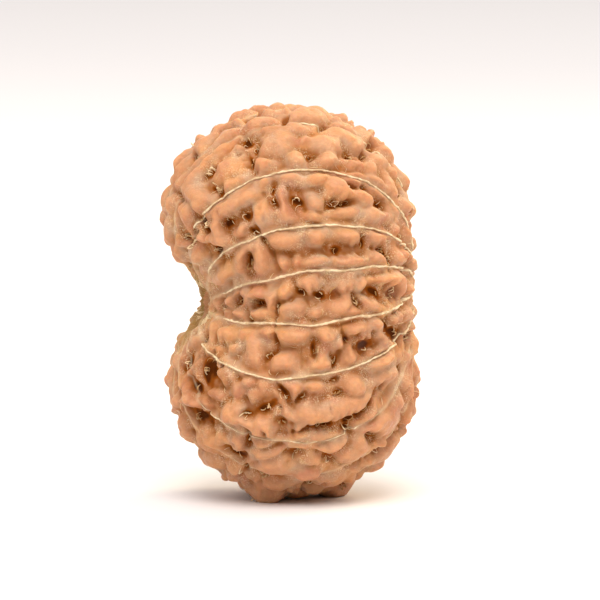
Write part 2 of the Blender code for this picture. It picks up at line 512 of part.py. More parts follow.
def make_bead():
    """The bead's surface, standing on the floor with its box centred over the origin."""
    grid, directions = sphere_grid(GRID_CUTS)
    points = bead_points(directions)
    low = points.min(axis=0)
    high = points.max(axis=0)
    shift = np.array((-(low[0] + high[0]) / 2, -(low[1] + high[1]) / 2, -FLOOR))
    for vertex, point in zip(grid.verts, (points + shift) * MM):
        vertex.co = point
    mesh = bpy.data.meshes.new("bead")
    grid.to_mesh(mesh)
    grid.free()
    mesh.materials.append(bead_material())
    mesh.shade_smooth()
    bead = bpy.data.objects.new("bead", mesh)
    bpy.context.scene.collection.objects.link(bead)
    wear = bead.modifiers.new("wear", "SMOOTH")
    wear.factor = 0.5
    wear.iterations = WEAR_STEPS
    thinning = bead.modifiers.new("thinning", "DECIMATE")
    thinning.ratio = SOLID_TRIANGLES / (2 * len(mesh.polygons))
    return bead, shift


def make_cutter(name, fill):
    """A hidden guide shape, built by the function fill on an empty mesh."""
    shape = bmesh.new()
    fill(shape)
    mesh = bpy.data.meshes.new(name)
    shape.to_mesh(mesh)
    shape.free()
    cutter = bpy.data.objects.new(name, mesh)
    cutter.hide_render = True
    cutter.display_type = "WIRE"
    bpy.context.scene.collection.objects.link(cutter)
    return cutter


def cut(bead, cutter):
    """Takes the cutter's shape out of the bead."""
    boolean = bead.modifiers.new(cutter.name, "BOOLEAN")
    boolean.operation = "DIFFERENCE"
    boolean.solver = "EXACT"
    boolean.object = cutter


def main():
    for obj in list(bpy.data.objects):
        bpy.data.objects.remove(obj)
    bead, shift = make_bead()

    axis = thread_frame()[0]
    middle = (LEFT_POLE + RIGHT_POLE) / 2 + shift
    turn = Vector((0, 0, 1)).rotation_difference(Vector(axis)).to_matrix().to_4x4()
    place = Matrix.Translation(Vector(middle * MM)) @ turn
    channel = make_cutter("channel_cutter", lambda shape: bmesh.ops.create_cone(
        shape, cap_ends=True, segments=CHANNEL_SIDES, matrix=place, depth=LENGTH * MM,
        radius1=CHANNEL_WIDTH * MM / 2, radius2=CHANNEL_WIDTH * MM / 2))
    cut(bead, channel)

    under = Matrix.Translation(Vector((0, 0, -LENGTH * MM / 2)))
    floor = make_cutter("floor_cutter", lambda shape: bmesh.ops.create_cube(
        shape, size=LENGTH * MM, matrix=under))
    cut(bead, floor)


if __name__ == "__main__":
    main()
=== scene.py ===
import math

import bpy
import numpy as np
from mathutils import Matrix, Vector


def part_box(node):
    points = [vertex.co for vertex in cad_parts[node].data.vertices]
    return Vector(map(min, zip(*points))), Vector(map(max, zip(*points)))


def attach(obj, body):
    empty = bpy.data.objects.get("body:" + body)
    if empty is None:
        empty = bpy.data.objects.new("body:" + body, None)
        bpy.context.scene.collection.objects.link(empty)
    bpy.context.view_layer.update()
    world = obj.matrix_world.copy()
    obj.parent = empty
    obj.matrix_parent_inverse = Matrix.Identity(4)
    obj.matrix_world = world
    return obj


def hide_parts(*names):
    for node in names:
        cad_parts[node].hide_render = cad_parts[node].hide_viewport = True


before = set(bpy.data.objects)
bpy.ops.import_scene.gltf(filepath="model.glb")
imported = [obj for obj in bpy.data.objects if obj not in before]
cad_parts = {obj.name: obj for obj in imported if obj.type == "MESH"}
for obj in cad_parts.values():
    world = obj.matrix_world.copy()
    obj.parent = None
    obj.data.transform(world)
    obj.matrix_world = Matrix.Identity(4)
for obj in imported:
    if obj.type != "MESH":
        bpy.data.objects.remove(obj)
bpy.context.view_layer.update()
print("frame loaded")

# all measures of the bead are in millimetres from its middle, as in the solid's source
beadForm = {
    "lobes": (    # centre, half sizes, squareness towards the left and the right pole
        ((-0.5, 0.3, 7.6), (10.5, 11.1, 9.1), 1.9, 2.0),
        ((0.1, 0.3, -6.9), (10.7, 11.3, 9.4), 2.0, 2.0),
        ((1.4, 1.0, 0.8), (9.3, 12.1, 13.5), 1.7, 2.6),
    ),
    "lobeBlend": 20.0,
    "leftPole": np.array((-7.7, -0.8, -0.2)),
    "rightPole": np.array((10.3, 1.2, 1.6)),
    "hollows": (    # centre, half sizes, depth
        ((-7.9, -1.5, -0.5), (3.0, 1.9, 1.8), 1.6),
        ((10.6, 1.6, 3.0), (3.0, 2.4, 7.0), 1.1),
    ),
    "faceCount": 20,
    "frontSeams": (15.3, 11.4, 6.55, 2.45, -1.8, -6.45, -12.2),
    "seamMiddle": 1.6,
    "seamWavers": ((0.12, 6.5), (0.045, 2.2)),
    "floor": -16.8,
    "channelWidth": 2.2,
    "drillLength": 34.0,    # more than the channel needs
    "gridSteps": (24, 4),    # cuts of a cube's faces, then of the squares that these leave
    "ringSteps": 400,    # points round the middle, to space the hidden seams
    "beyond": 24.0,    # a distance that is outside the bead from anywhere in it
    "levelSize": 10.0,    # distance that one step of the form's level stands for
}

relief = {
    "valley": -0.75,
    "lumpRise": 1.3,
    "lumpEdge": 0.85,
    "lumpPower": 2.4,
    "lumpMelt": 3.6,
    "lumpDepth": 2.4,
    "crownFrom": 0.08,
    "crownLimit": 0.5,
    "seamLevel": -0.32,
    "seamHalf": 0.1,
    "seamFlank": 0.6,
    "seamBead": 0.06,
    "pitDepth": 2.6,
    "pitFloor": 0.1,
    "pitRim": 1.5,
    "dellDepth": 0.45,
    "dellRim": 3.2,
    "pitRagged": 0.22,
    "pitRaggedLength": 0.9,
    "swell": 0.13,
    "swellLength": 3.0,
    "hollowFloor": 0.2,
    "hollowRim": 1.2,
    "poleCalm": (1.5, 7.0),
    "poleShare": 0.35,
    "warps": ((0.2, 3.6), (0.06, 1.4)),
    "grain": 0.035,
    "grainLength": 0.9,
    "footWear": 0.3,
    "footEdge": 0.9,
    "footPower": 2.1,
    "footBumps": 0.5,
    "footBumpLength": 1.7,
    "footBumpEdge": 0.3,    # share of a foot's rise where its bumps are full
    "feet": ((-2.2, -3.2, 2.0), (-2.9, 3.6, 2.2), (3.9, 1.2, 2.1)),    # right, back, half width
    "seamTint": 0.15,
    "poleTint": (1.5, 8.0),    # distances from the thread axis
    "huskTint": (1.5, 4.2),
    "huskFront": (-3.4, -1.9),    # the husk colour fades out towards the front
}

growth = {
    "seed": 20,    # each draw counts its own seed from this one
    "lumpSizes": (1.7, 1.35, 1.05, 0.8),
    "lumpRoom": 0.86,
    "lumpShare": 0.85,
    "lumpTries": 2600,
    "lumpClearance": 0.45,
    "lumpLean": math.radians(35),
    "lumpLengths": (0.9, 1.2),
    "lumpWidths": (0.6, 0.85),
    "lumpHeights": (0.7, 1.15),
    "pitTries": 5000,
    "pitCount": 210,
    "pitRoom": 2.3,
    "pitFrontRoom": 3.3,
    "pitFrontEdge": -2.0,
    "pitClearance": 0.5,
    "pitLengths": (0.35, 0.75),
    "pitWidths": (0.5, 0.9),
    "pitDepths": (0.6, 1.0),
}

shot = {
    "elevation": math.radians(5.0),
    "distance": 400.0,
    "searchDepth": 20.0,    # the bead's front is met within this distance before its middle
    "aim": (0.72, 0.0, 0.17),
    "sensor": 36.0,
    "frameWidth": 51.06,    # of the view at the bead's middle
    "clip": (0.01, 20.0),
}

# lumps seen from the front: right, up, half length, half width, turn, height
frontLumps = (
    # top, down to the first seam
    (-2.9, 16.2, 1.6, 0.5, 3, 1.0), (-2.5, 15.2, 2.0, 0.7, 8, 1.0), (-4.7, 15.5, 0.5, 0.4, 30, 0.8),
    (-5.9, 15.0, 1.6, 0.5, 35, 0.9), (-5.8, 13.9, 1.6, 0.8, 32, 1.1), (-8.0, 13.3, 0.8, 0.7, 20, 1.1),
    (-9.6, 11.7, 1.5, 0.8, 65, 1.0), (-8.3, 11.2, 2.0, 0.8, 55, 1.0), (-10.4, 8.4, 1.1, 0.6, 80, 1.0),
    (-9.2, 7.6, 1.4, 0.5, 88, 0.9), (-8.2, 9.4, 1.3, 1.0, -35, 1.0), (-7.9, 7.9, 1.0, 0.7, -30, 1.0),
    (-5.6, 11.6, 1.5, 1.2, 0, 0.75), (-5.0, 10.0, 1.2, 0.6, 30, 1.0), (-7.3, 12.6, 1.0, 0.5, 50, 0.9),
    (-2.4, 11.8, 0.8, 0.7, 0, 1.1), (-1.5, 13.9, 1.7, 1.0, 0, 0.8), (0.2, 12.2, 1.0, 0.8, -5, 1.1),
    (-0.6, 16.4, 0.6, 0.4, 0, 0.7), (1.2, 15.8, 1.2, 1.1, -30, 1.2), (3.0, 16.0, 0.7, 0.4, -25, 0.7),
    (5.0, 15.5, 2.0, 0.4, -20, 0.9), (4.9, 14.2, 2.0, 0.9, -28, 1.3), (7.6, 13.8, 1.0, 0.7, -45, 1.0),
    (3.2, 13.5, 1.5, 0.8, -15, 0.9), (3.0, 12.2, 1.1, 0.6, 5, 1.1), (5.5, 12.1, 1.0, 0.6, -15, 1.0),
    (7.5, 12.1, 1.2, 1.0, -50, 0.9), (9.8, 9.8, 2.0, 0.6, -75, 0.9), (8.6, 9.9, 1.5, 0.7, -65, 0.8),
    # first to second seam
    (-2.6, 10.3, 0.7, 0.5, 0, 1.0), (-5.4, 8.4, 2.6, 0.8, 35, 1.0), (-2.5, 7.4, 1.2, 1.1, 0, 0.9),
    (-0.6, 8.3, 1.6, 0.6, 88, 1.0), (-6.5, 6.2, 1.3, 0.6, 60, 1.0), (-4.4, 6.2, 0.9, 0.6, 15, 0.9),
    (-10.5, 6.0, 1.0, 0.6, 85, 1.0), (-0.1, 10.6, 1.1, 0.6, 0, 1.0), (2.3, 10.6, 1.1, 0.6, 0, 1.1),
    (4.0, 9.5, 1.2, 0.8, -60, 1.3), (5.6, 10.6, 0.9, 0.5, -5, 1.1), (7.6, 9.7, 1.3, 0.5, -38, 1.1),
    (6.3, 8.9, 1.2, 0.7, -25, 1.0), (2.1, 8.8, 1.1, 0.7, 0, 0.8), (1.9, 7.4, 0.9, 0.5, -10, 1.0),
    (4.7, 7.7, 1.3, 0.6, 0, 1.0), (7.4, 7.4, 1.5, 0.7, -10, 0.9), (-0.2, 7.2, 0.7, 0.5, 0, 0.8),
    (8.9, 8.4, 1.1, 0.5, -75, 0.8),
    # second to third seam
    (-0.6, 5.3, 1.5, 0.7, 0, 1.2), (-4.5, 3.4, 1.2, 0.6, 80, 1.0), (-2.8, 3.4, 1.3, 0.8, 95, 1.0),
    (-3.7, 4.6, 0.9, 0.5, 10, 0.9), (-0.7, 3.4, 0.6, 0.6, 0, 0.9), (0.5, 3.6, 0.5, 0.3, 85, 0.8),
    (-6.3, 5.0, 1.0, 0.8, -50, 1.0), (-8.2, 3.6, 0.9, 0.6, 15, 0.9), (-9.7, 3.9, 1.4, 0.7, -65, 0.9),
    (-6.2, 2.1, 1.1, 0.7, 15, 1.0), (-7.6, 2.4, 0.8, 0.5, -50, 0.7), (2.4, 5.6, 1.1, 0.7, 0, 1.0),
    (5.0, 5.8, 1.0, 0.7, 0, 1.0), (7.5, 5.5, 1.0, 0.7, -15, 1.0), (2.2, 3.4, 1.3, 0.6, 3, 1.1),
    (5.1, 3.4, 1.5, 0.6, 4, 1.1), (7.6, 3.6, 1.0, 0.7, -10, 0.9), (9.3, 3.5, 1.0, 0.5, 85, 1.0),
    (10.3, 6.0, 1.0, 0.6, -80, 0.9),
    # third to fourth seam
    (-5.4, 0.3, 0.6, 0.5, 80, 0.9), (-6.6, -0.1, 0.5, 0.4, 85, 0.8), (-3.1, 0.9, 1.1, 0.5, 0, 1.0),
    (-2.8, -1.0, 1.0, 0.6, -10, 1.1), (-0.6, 1.2, 0.8, 0.7, 90, 0.9), (-0.1, -0.9, 1.1, 0.7, 0, 1.1),
    (-4.6, -0.9, 0.6, 0.4, 0, 0.8), (1.6, 1.4, 1.0, 0.8, -15, 1.2), (4.3, 1.2, 1.5, 0.7, 50, 0.8),
    (6.3, 1.7, 0.7, 0.6, 0, 0.8), (9.2, 1.2, 1.2, 0.8, 80, 1.1), (8.4, 1.9, 0.9, 0.4, -5, 1.0),
    (7.2, -0.3, 1.2, 0.7, -15, 0.9), (4.2, -0.4, 1.0, 0.8, 40, 0.9), (2.2, -1.2, 0.9, 0.4, 5, 0.9),
    (5.4, -1.0, 1.0, 0.4, 5, 0.8),
    # fourth to fifth seam
    (-5.8, -2.6, 0.8, 0.7, 0, 0.8), (-4.1, -2.6, 0.7, 0.6, 0, 0.8), (-3.2, -4.0, 1.4, 0.9, 100, 1.1),
    (0.0, -3.0, 1.5, 0.9, 0, 1.2), (-0.8, -5.2, 1.3, 0.7, -10, 1.0), (3.2, -2.7, 0.8, 0.7, 0, 1.0),
    (5.8, -2.4, 1.2, 0.5, 5, 1.0), (2.6, -5.0, 1.1, 0.9, 80, 1.3), (5.2, -4.9, 1.0, 0.9, 10, 0.9),
    (8.0, -4.6, 1.5, 0.7, 22, 1.0), (8.1, -3.1, 0.8, 0.6, -40, 0.9), (10.4, -2.3, 1.3, 0.5, 88, 1.0),
    (10.2, -4.9, 0.8, 0.5, 85, 0.9), (9.4, -1.4, 0.7, 0.4, 20, 0.9),
    # left of the lower half
    (-8.6, -1.8, 0.9, 0.5, 25, 0.9), (-9.8, -3.3, 0.9, 0.6, 35, 1.0), (-8.5, -3.2, 1.0, 0.5, 30, 0.9),
    (-7.5, -3.9, 1.0, 0.4, 10, 0.9), (-10.5, -5.9, 1.5, 0.6, 85, 1.0), (-9.0, -7.0, 1.2, 0.8, -55, 0.9),
    (-8.3, -5.6, 1.1, 0.6, -65, 0.9), (-6.0, -5.6, 1.3, 0.8, -70, 1.0), (-6.9, -7.7, 0.9, 0.6, -25, 1.0),
    (-8.4, -8.8, 1.2, 0.7, -15, 0.9), (-10.0, -8.5, 0.5, 0.4, 80, 0.8), (-9.3, -11.0, 1.8, 0.7, -85, 1.0),
    (-7.5, -11.6, 1.8, 0.9, -62, 1.0), (-7.0, -13.6, 1.1, 0.6, -25, 1.0),
    # below the fifth seam
    (-5.2, -9.9, 1.1, 0.9, -50, 1.1), (-6.0, -11.9, 1.0, 0.7, -70, 0.8), (-4.7, -12.2, 0.8, 0.7, -30, 1.0),
    (-2.6, -11.2, 1.2, 0.9, 90, 1.2), (-3.7, -10.6, 1.0, 0.5, -15, 1.0), (-2.5, -7.2, 0.8, 0.5, 90, 1.1),
    (-3.9, -6.9, 0.6, 0.5, 20, 0.9), (-5.0, -7.6, 0.9, 0.8, 0, 0.6), (-3.2, -8.2, 0.8, 0.6, -35, 0.7),
    (-0.7, -9.3, 1.4, 0.7, -35, 0.9), (0.1, -7.4, 0.9, 0.8, 90, 1.2), (2.2, -7.3, 0.8, 0.5, 0, 0.9),
    (5.4, -7.0, 1.0, 0.9, 0, 1.3), (8.3, -6.5, 1.7, 0.9, 20, 0.8), (4.5, -9.2, 2.9, 1.0, 22, 1.1),
    (1.5, -9.6, 1.5, 1.0, -10, 0.9), (0.6, -11.3, 0.8, 0.7, -60, 0.9), (3.2, -12.0, 2.0, 0.6, 5, 1.2),
    (4.7, -11.5, 0.5, 0.5, 0, 0.9), (7.8, -10.4, 1.6, 1.3, -20, 1.2), (6.0, -12.1, 0.9, 0.6, 80, 1.0),
    (5.2, -13.1, 1.4, 0.7, 15, 1.0), (7.5, -13.3, 1.9, 0.7, 30, 0.9), (8.7, -12.2, 0.9, 0.5, 40, 0.9),
    (10.1, -11.0, 1.4, 0.6, 75, 0.9), (10.4, -8.0, 2.0, 0.6, 88, 0.9), (9.2, -8.6, 1.1, 0.6, 75, 0.8),
    # foot
    (-2.2, -13.0, 1.6, 0.5, 0, 0.9), (1.9, -13.5, 0.8, 0.6, -20, 0.9), (-1.4, -14.2, 2.1, 0.8, -3, 0.9),
    (-4.9, -14.3, 0.8, 0.5, -35, 0.9), (-4.0, -15.6, 0.9, 0.7, -30, 1.0), (-1.2, -15.6, 1.7, 0.6, -5, 1.0),
    (-2.6, -16.5, 0.9, 0.4, -15, 1.0), (3.4, -15.2, 1.7, 1.0, 10, 1.1),
)

# pits seen from the front: right, up, half length, half width, turn, depth
frontPits = (
    (-3.9, 14.0, 0.5, 0.5, -60, 1.0), (-3.1, 13.4, 0.4, 0.2, 60, 0.8), (-3.6, 12.3, 0.7, 0.3, -65, 0.9),
    (-0.5, 15.7, 0.4, 0.2, 85, 0.7), (1.8, 12.7, 0.4, 0.2, 10, 0.8), (5.1, 12.7, 0.5, 0.3, -30, 0.9),
    (6.3, 12.6, 0.4, 0.2, 50, 0.6), (7.1, 13.5, 0.5, 0.3, 30, 0.5), (-8.5, 12.5, 0.3, 0.2, 80, 0.6),
    (-7.2, 11.3, 0.6, 0.3, 50, 0.6), (-6.8, 10.0, 0.5, 0.2, -50, 0.8), (-6.3, 9.5, 0.4, 0.3, -60, 0.6),
    (-9.7, 9.0, 0.5, 0.3, -40, 0.8), (-7.8, 7.1, 0.4, 0.3, 0, 1.0), (-7.6, 6.5, 0.4, 0.3, -30, 0.8),
    (-8.7, 6.1, 0.4, 0.2, 75, 0.7), (-9.4, 5.4, 0.3, 0.2, -20, 0.8), (-8.8, 4.9, 0.4, 0.2, 60, 0.5),
    (-1.6, 9.6, 0.5, 0.2, 75, 0.8), (-1.4, 8.6, 0.5, 0.3, -40, 1.0), (0.4, 8.8, 0.4, 0.4, 0, 1.0),
    (-4.0, 7.3, 0.5, 0.4, -30, 1.0), (-5.6, 6.8, 0.4, 0.4, 60, 1.0), (-3.3, 5.9, 0.5, 0.3, -30, 0.9),
    (3.8, 8.4, 0.4, 0.3, -20, 0.8), (4.7, 8.5, 0.5, 0.2, 10, 0.8), (7.9, 8.4, 0.4, 0.3, -45, 1.0),
    (5.4, 9.9, 0.4, 0.2, 0, 0.6), (6.6, 9.8, 0.4, 0.2, -20, 0.6), (-3.8, 3.0, 0.5, 0.3, 75, 1.0),
    (-2.4, 5.1, 0.5, 0.2, -55, 0.7), (6.3, 5.3, 0.7, 0.2, 80, 1.0), (4.1, 4.5, 0.5, 0.4, -25, 1.0),
    (8.3, 4.3, 0.5, 0.3, -40, 0.9), (8.8, 3.6, 0.6, 0.2, 80, 0.8), (-6.6, 4.0, 0.6, 0.3, -25, 0.9),
    (9.6, 6.0, 0.6, 0.3, -70, 0.7), (10.0, 2.0, 2.2, 0.2, 88, 0.8), (0.7, 0.8, 0.6, 0.3, -45, 1.0),
    (2.5, 0.5, 0.5, 0.4, 0, 1.1), (3.6, 0.6, 0.9, 0.5, 45, 0.4), (5.6, 0.1, 0.5, 0.2, -70, 1.0),
    (7.7, 0.9, 0.7, 0.4, -35, 1.0), (8.9, 0.8, 0.7, 0.5, -30, 0.4), (-3.1, 0.0, 0.4, 0.3, 10, 1.0),
    (-4.6, 0.2, 0.4, 0.2, 60, 0.9), (-6.1, -0.3, 0.4, 0.2, 80, 0.8), (-3.6, -1.2, 0.4, 0.2, -45, 0.7),
    (-1.5, -0.6, 0.8, 0.2, 80, 0.5), (2.1, -4.0, 0.5, 0.3, 65, 0.8), (4.8, -3.3, 0.4, 0.3, 0, 1.0),
    (6.7, -3.9, 0.7, 0.5, 20, 1.0), (8.6, -1.9, 0.4, 0.3, -30, 0.9), (9.2, -2.7, 0.8, 0.4, -50, 1.0),
    (3.7, -4.9, 0.5, 0.2, 80, 0.9), (-1.7, -3.3, 0.6, 0.2, 85, 0.5), (-2.0, -4.5, 0.5, 0.3, 60, 0.6),
    (-7.8, -2.9, 0.5, 0.3, 45, 0.8), (-7.5, -5.6, 1.3, 0.8, -60, 1.1), (-9.3, -5.1, 0.7, 0.3, 65, 0.9),
    (-8.6, -7.1, 0.8, 0.4, -50, 1.0), (-9.7, -8.0, 0.4, 0.3, -60, 0.8), (-8.2, -10.0, 0.9, 0.5, -10, 1.0),
    (-8.1, -12.3, 0.7, 0.2, -62, 0.7), (-4.0, -9.8, 0.4, 0.3, 0, 1.0), (-2.4, -9.2, 0.9, 0.4, 20, 0.9),
    (-0.9, -10.5, 0.4, 0.4, -60, 0.7), (-3.6, -12.1, 0.4, 0.3, 75, 1.0), (-4.9, -13.3, 0.8, 0.4, -15, 1.0),
    (-4.2, -14.4, 0.3, 0.2, 60, 0.8), (-2.3, -15.0, 0.6, 0.2, 10, 0.6), (-3.0, -15.8, 0.4, 0.2, -20, 0.7),
    (5.2, -10.1, 0.7, 0.3, 28, 1.0), (6.4, -9.2, 1.4, 0.2, 48, 1.0), (5.0, -10.9, 0.5, 0.4, -40, 1.0),
    (2.6, -10.9, 2.0, 0.2, 10, 0.9), (7.0, -11.6, 0.4, 0.3, 0, 0.8), (3.3, -13.8, 0.6, 0.5, 30, 0.5),
    (0.3, -13.3, 0.5, 0.3, 20, 0.5), (3.6, -6.8, 0.3, 0.2, 0, 0.6), (4.1, -7.8, 0.4, 0.2, 30, 0.7),
    (-0.8, -7.9, 0.7, 0.3, -60, 0.9), (0.8, -8.2, 0.5, 0.2, 25, 0.7), (1.5, -15.8, 0.8, 0.3, 15, 0.6),
    (7.7, -12.8, 1.6, 0.2, 38, 0.6), (9.6, -10.5, 0.8, 0.2, 75, 0.6), (2.9, 15.1, 0.4, 0.2, 10, 0.5),
)


def unit(vectors):
    return vectors / np.linalg.norm(vectors, axis=-1, keepdims=True)


def smoothStep(values, low, high):
    share = np.clip((values - low) / (high - low), 0, 1)
    return share * share * (3 - 2 * share)


def fadeOut(values, low, high):
    return 1 - smoothStep(values, low, high)


def ripple(points, wavelength, seed, waves=7, paces=(0.75, 1.35)):    # soft unevenness, about -1 to 1
    draw = np.random.default_rng(seed)
    total = np.zeros(len(points))
    for wave in range(waves):
        direction = unit(draw.normal(size=3))
        pace = 2 * math.pi * draw.uniform(*paces) / wavelength
        total += np.sin(points @ direction * pace + draw.uniform(0, 2 * math.pi))
    return total / math.sqrt(waves)


# the smooth form
def lobeLevel(points, centre, half, leftPower, rightPower):
    scaled = (points - centre) / half
    along = np.abs(scaled[:, 0])
    across = np.hypot(scaled[:, 1], scaled[:, 2])
    power = np.where(scaled[:, 0] < 0, leftPower, rightPower)
    return (along**power + across**power) ** (1 / power)


def formLevel(points):    # below zero inside
    blend = beadForm["lobeBlend"]
    total = sum(np.exp(-blend * (lobeLevel(points, *lobe) - 1)) for lobe in beadForm["lobes"])
    return -np.log(total) / blend


def formNormals(points):
    step = 0.02
    slopes = [formLevel(points + step * axis) - formLevel(points - step * axis) for axis in np.eye(3)]
    return unit(np.stack(slopes, axis=1))


def meetForm(starts, directions, near, far, halvings=26):    # where each ray crosses the form
    near = np.full(len(directions), near)
    far = np.full(len(directions), far)
    insideFirst = formLevel(starts + near[:, None] * directions) < 0
    for halving in range(halvings):
        middle = (near + far) / 2
        inside = formLevel(starts + middle[:, None] * directions) < 0
        keepFar = inside == insideFirst
        near = np.where(keepFar, middle, near)
        far = np.where(keepFar, far, middle)
    return starts + near[:, None] * directions


def formPoints(directions):
    return meetForm(np.zeros_like(directions), directions, 0.0, beadForm["beyond"])


def pulledToForm(points):    # points near the form are moved onto it
    return points - formLevel(points)[:, None] * beadForm["levelSize"] * formNormals(points)


def seenPoint(right, up):    # points of the form as the camera sees them
    rise = shot["elevation"]
    back = np.array((0, -math.cos(rise), math.sin(rise)))
    upward = np.array((0, math.sin(rise), math.cos(rise)))
    far = shot["distance"]
    eye = far * back
    rays = unit(np.outer(right, (1.0, 0, 0)) + np.outer(up, upward) - eye)
    return meetForm(np.broadcast_to(eye, rays.shape), rays, far - shot["searchDepth"], far)


# the seams fan out round the thread axis
def threadFrame():
    axis = unit(beadForm["rightPole"] - beadForm["leftPole"])
    top = unit(np.array((0, 0, 1.0)) - axis[2] * axis)
    return axis, top, np.cross(top, axis)


def threadRadius(points):
    top, back = threadFrame()[1:]
    offsets = points - beadForm["leftPole"]
    return np.hypot(offsets @ top, offsets @ back)


def seamAngle(points):
    top, back = threadFrame()[1:]
    offsets = points - beadForm["leftPole"]
    return np.arctan2(offsets @ top, -(offsets @ back))


def findSeams():
    seams = beadForm["frontSeams"]
    front = seamAngle(seenPoint(np.full(len(seams), beadForm["seamMiddle"]), seams))
    hidden = beadForm["faceCount"] - len(front)
    top, back = threadFrame()[1:]
    turns = np.linspace(front[0], front[-1] + 2 * math.pi, beadForm["ringSteps"])
    centre = (beadForm["leftPole"] + beadForm["rightPole"]) / 2
    rays = np.sin(turns)[:, None] * top - np.cos(turns)[:, None] * back
    ring = meetForm(np.broadcast_to(centre, rays.shape), rays, 0.0, beadForm["beyond"])
    lengths = np.concatenate([[0], np.cumsum(np.linalg.norm(np.diff(ring, axis=0), axis=1))])
    steps = np.linspace(0, lengths[-1], hidden + 2)[1:-1]
    return np.concatenate([front, np.interp(steps, lengths, turns)])


def seamWaver(points):
    waver = np.zeros(len(points))
    for size, length in beadForm["seamWavers"]:
        waver += size * ripple(points, length, growth["seed"] + round(length))
    return waver


def seamDistance(points):
    radius = threadRadius(points)
    turns = seamAngle(points)
    waver = seamWaver(points)
    nearest = np.full(len(points), beadForm["beyond"])
    for seam in seamTurns:
        swing = np.sin(turns - seam)
        facing = np.cos(turns - seam) > 0
        nearest = np.where(facing, np.minimum(nearest, np.abs(swing * radius + waver)), nearest)
    return nearest


# lumps and pits
def placed(centres, longs, halfLengths, halfWidths, heights):
    normals = formNormals(centres)
    longs = unit(longs - np.sum(longs * normals, axis=1)[:, None] * normals)
    return list(zip(centres, normals, longs, np.cross(normals, longs), halfLengths, halfWidths, heights))


def frontMarks(rows, nudge=0.1, rimStretch=1.7):
    right, up, halfLength, halfWidth, turn, height = np.array(rows, float).T
    turn = np.radians(turn)
    centres = seenPoint(right, up)
    longs = seenPoint(right + nudge * np.cos(turn), up + nudge * np.sin(turn)) - centres
    crosses = seenPoint(right - nudge * np.sin(turn), up + nudge * np.cos(turn)) - centres
    halfLength *= np.clip(np.linalg.norm(longs, axis=1) / nudge, 1, rimStretch)
    halfWidth *= np.clip(np.linalg.norm(crosses, axis=1) / nudge, 1, rimStretch)
    return placed(centres, longs, halfLength, halfWidth, height)


def footMarks():    # the three worn lumps that it stands on
    right, back, halfWidth = np.array(relief["feet"]).T
    floor = beadForm["floor"]
    centres = formPoints(unit(np.stack([right, back, np.full(len(right), floor)], axis=1)))
    normals = formNormals(centres)
    heights = (centres[:, 2] - floor + relief["footWear"]) / -normals[:, 2]
    longs = np.tile((1.0, 0.0, 0.0), (len(right), 1))
    heights = (heights - relief["valley"]) / relief["lumpRise"]
    return placed(centres, longs, halfWidth, halfWidth, heights)


def reach(points, mark):
    centre, normal, long, cross, halfLength, halfWidth = mark[:6]
    offsets = points - centre
    along = offsets @ long / halfLength
    across = offsets @ cross / halfWidth
    depth = offsets @ normal / relief["lumpDepth"]
    return np.sqrt(along**2 + across**2 + depth**2)


def lumpField(points, lumps):    # lumps melt into one another and flatten towards their crowns
    melt = relief["lumpMelt"]
    valley = relief["valley"]
    total = np.full(len(points), math.exp(melt * valley))
    for lump in lumps:
        share = np.exp(-relief["lumpEdge"] * reach(points, lump) ** relief["lumpPower"])
        rise = relief["lumpRise"] * lump[-1] * share
        total += np.exp(melt * (valley + rise)) - math.exp(melt * valley)
    height = np.log(total) / melt
    start = relief["crownFrom"]
    limit = relief["crownLimit"]
    return np.minimum(height, start) + limit * np.tanh(np.maximum(height - start, 0) / limit)


def footField(points):
    height = np.full(len(points), relief["valley"])
    bumps = relief["footBumps"] * ripple(points, relief["footBumpLength"], growth["seed"] + 21)
    for foot in feet:
        rise = np.exp(-relief["footEdge"] * reach(points, foot) ** relief["footPower"])
        bulge = relief["lumpRise"] * foot[-1] * rise
        bulge += bumps * smoothStep(rise, 0.0, relief["footBumpEdge"]) * (1 - rise)
        height = np.maximum(height, relief["valley"] + bulge)
    return height


def grownLumps(lumps):    # large ones first, each keeping its room
    draw = np.random.default_rng(growth["seed"])
    axis = threadFrame()[0]
    lumps = list(lumps)
    centres = [lump[0] for lump in lumps]
    rooms = [math.sqrt(lump[4] * lump[5]) for lump in lumps]
    for size in growth["lumpSizes"]:
        candidates = formPoints(unit(draw.normal(size=(growth["lumpTries"], 3))))
        clear = seamDistance(candidates) > growth["lumpClearance"] * size
        kept = []
        for candidate in candidates[clear]:
            gaps = np.linalg.norm(np.array(centres) - candidate, axis=1)
            if np.all(gaps > growth["lumpRoom"] * (size + np.array(rooms))):
                centres.append(candidate)
                rooms.append(size * growth["lumpShare"])
                kept.append(candidate)
        kept = np.array(kept)
        normals = formNormals(kept)
        lean = draw.normal(0, growth["lumpLean"], len(kept))[:, None]
        longs = np.cos(lean) * axis + np.sin(lean) * np.cross(normals, axis)
        lengths = size * draw.uniform(*growth["lumpLengths"], len(kept))
        widths = size * draw.uniform(*growth["lumpWidths"], len(kept))
        lumps += placed(kept, longs, lengths, widths, draw.uniform(*growth["lumpHeights"], len(kept)))
    return lumps


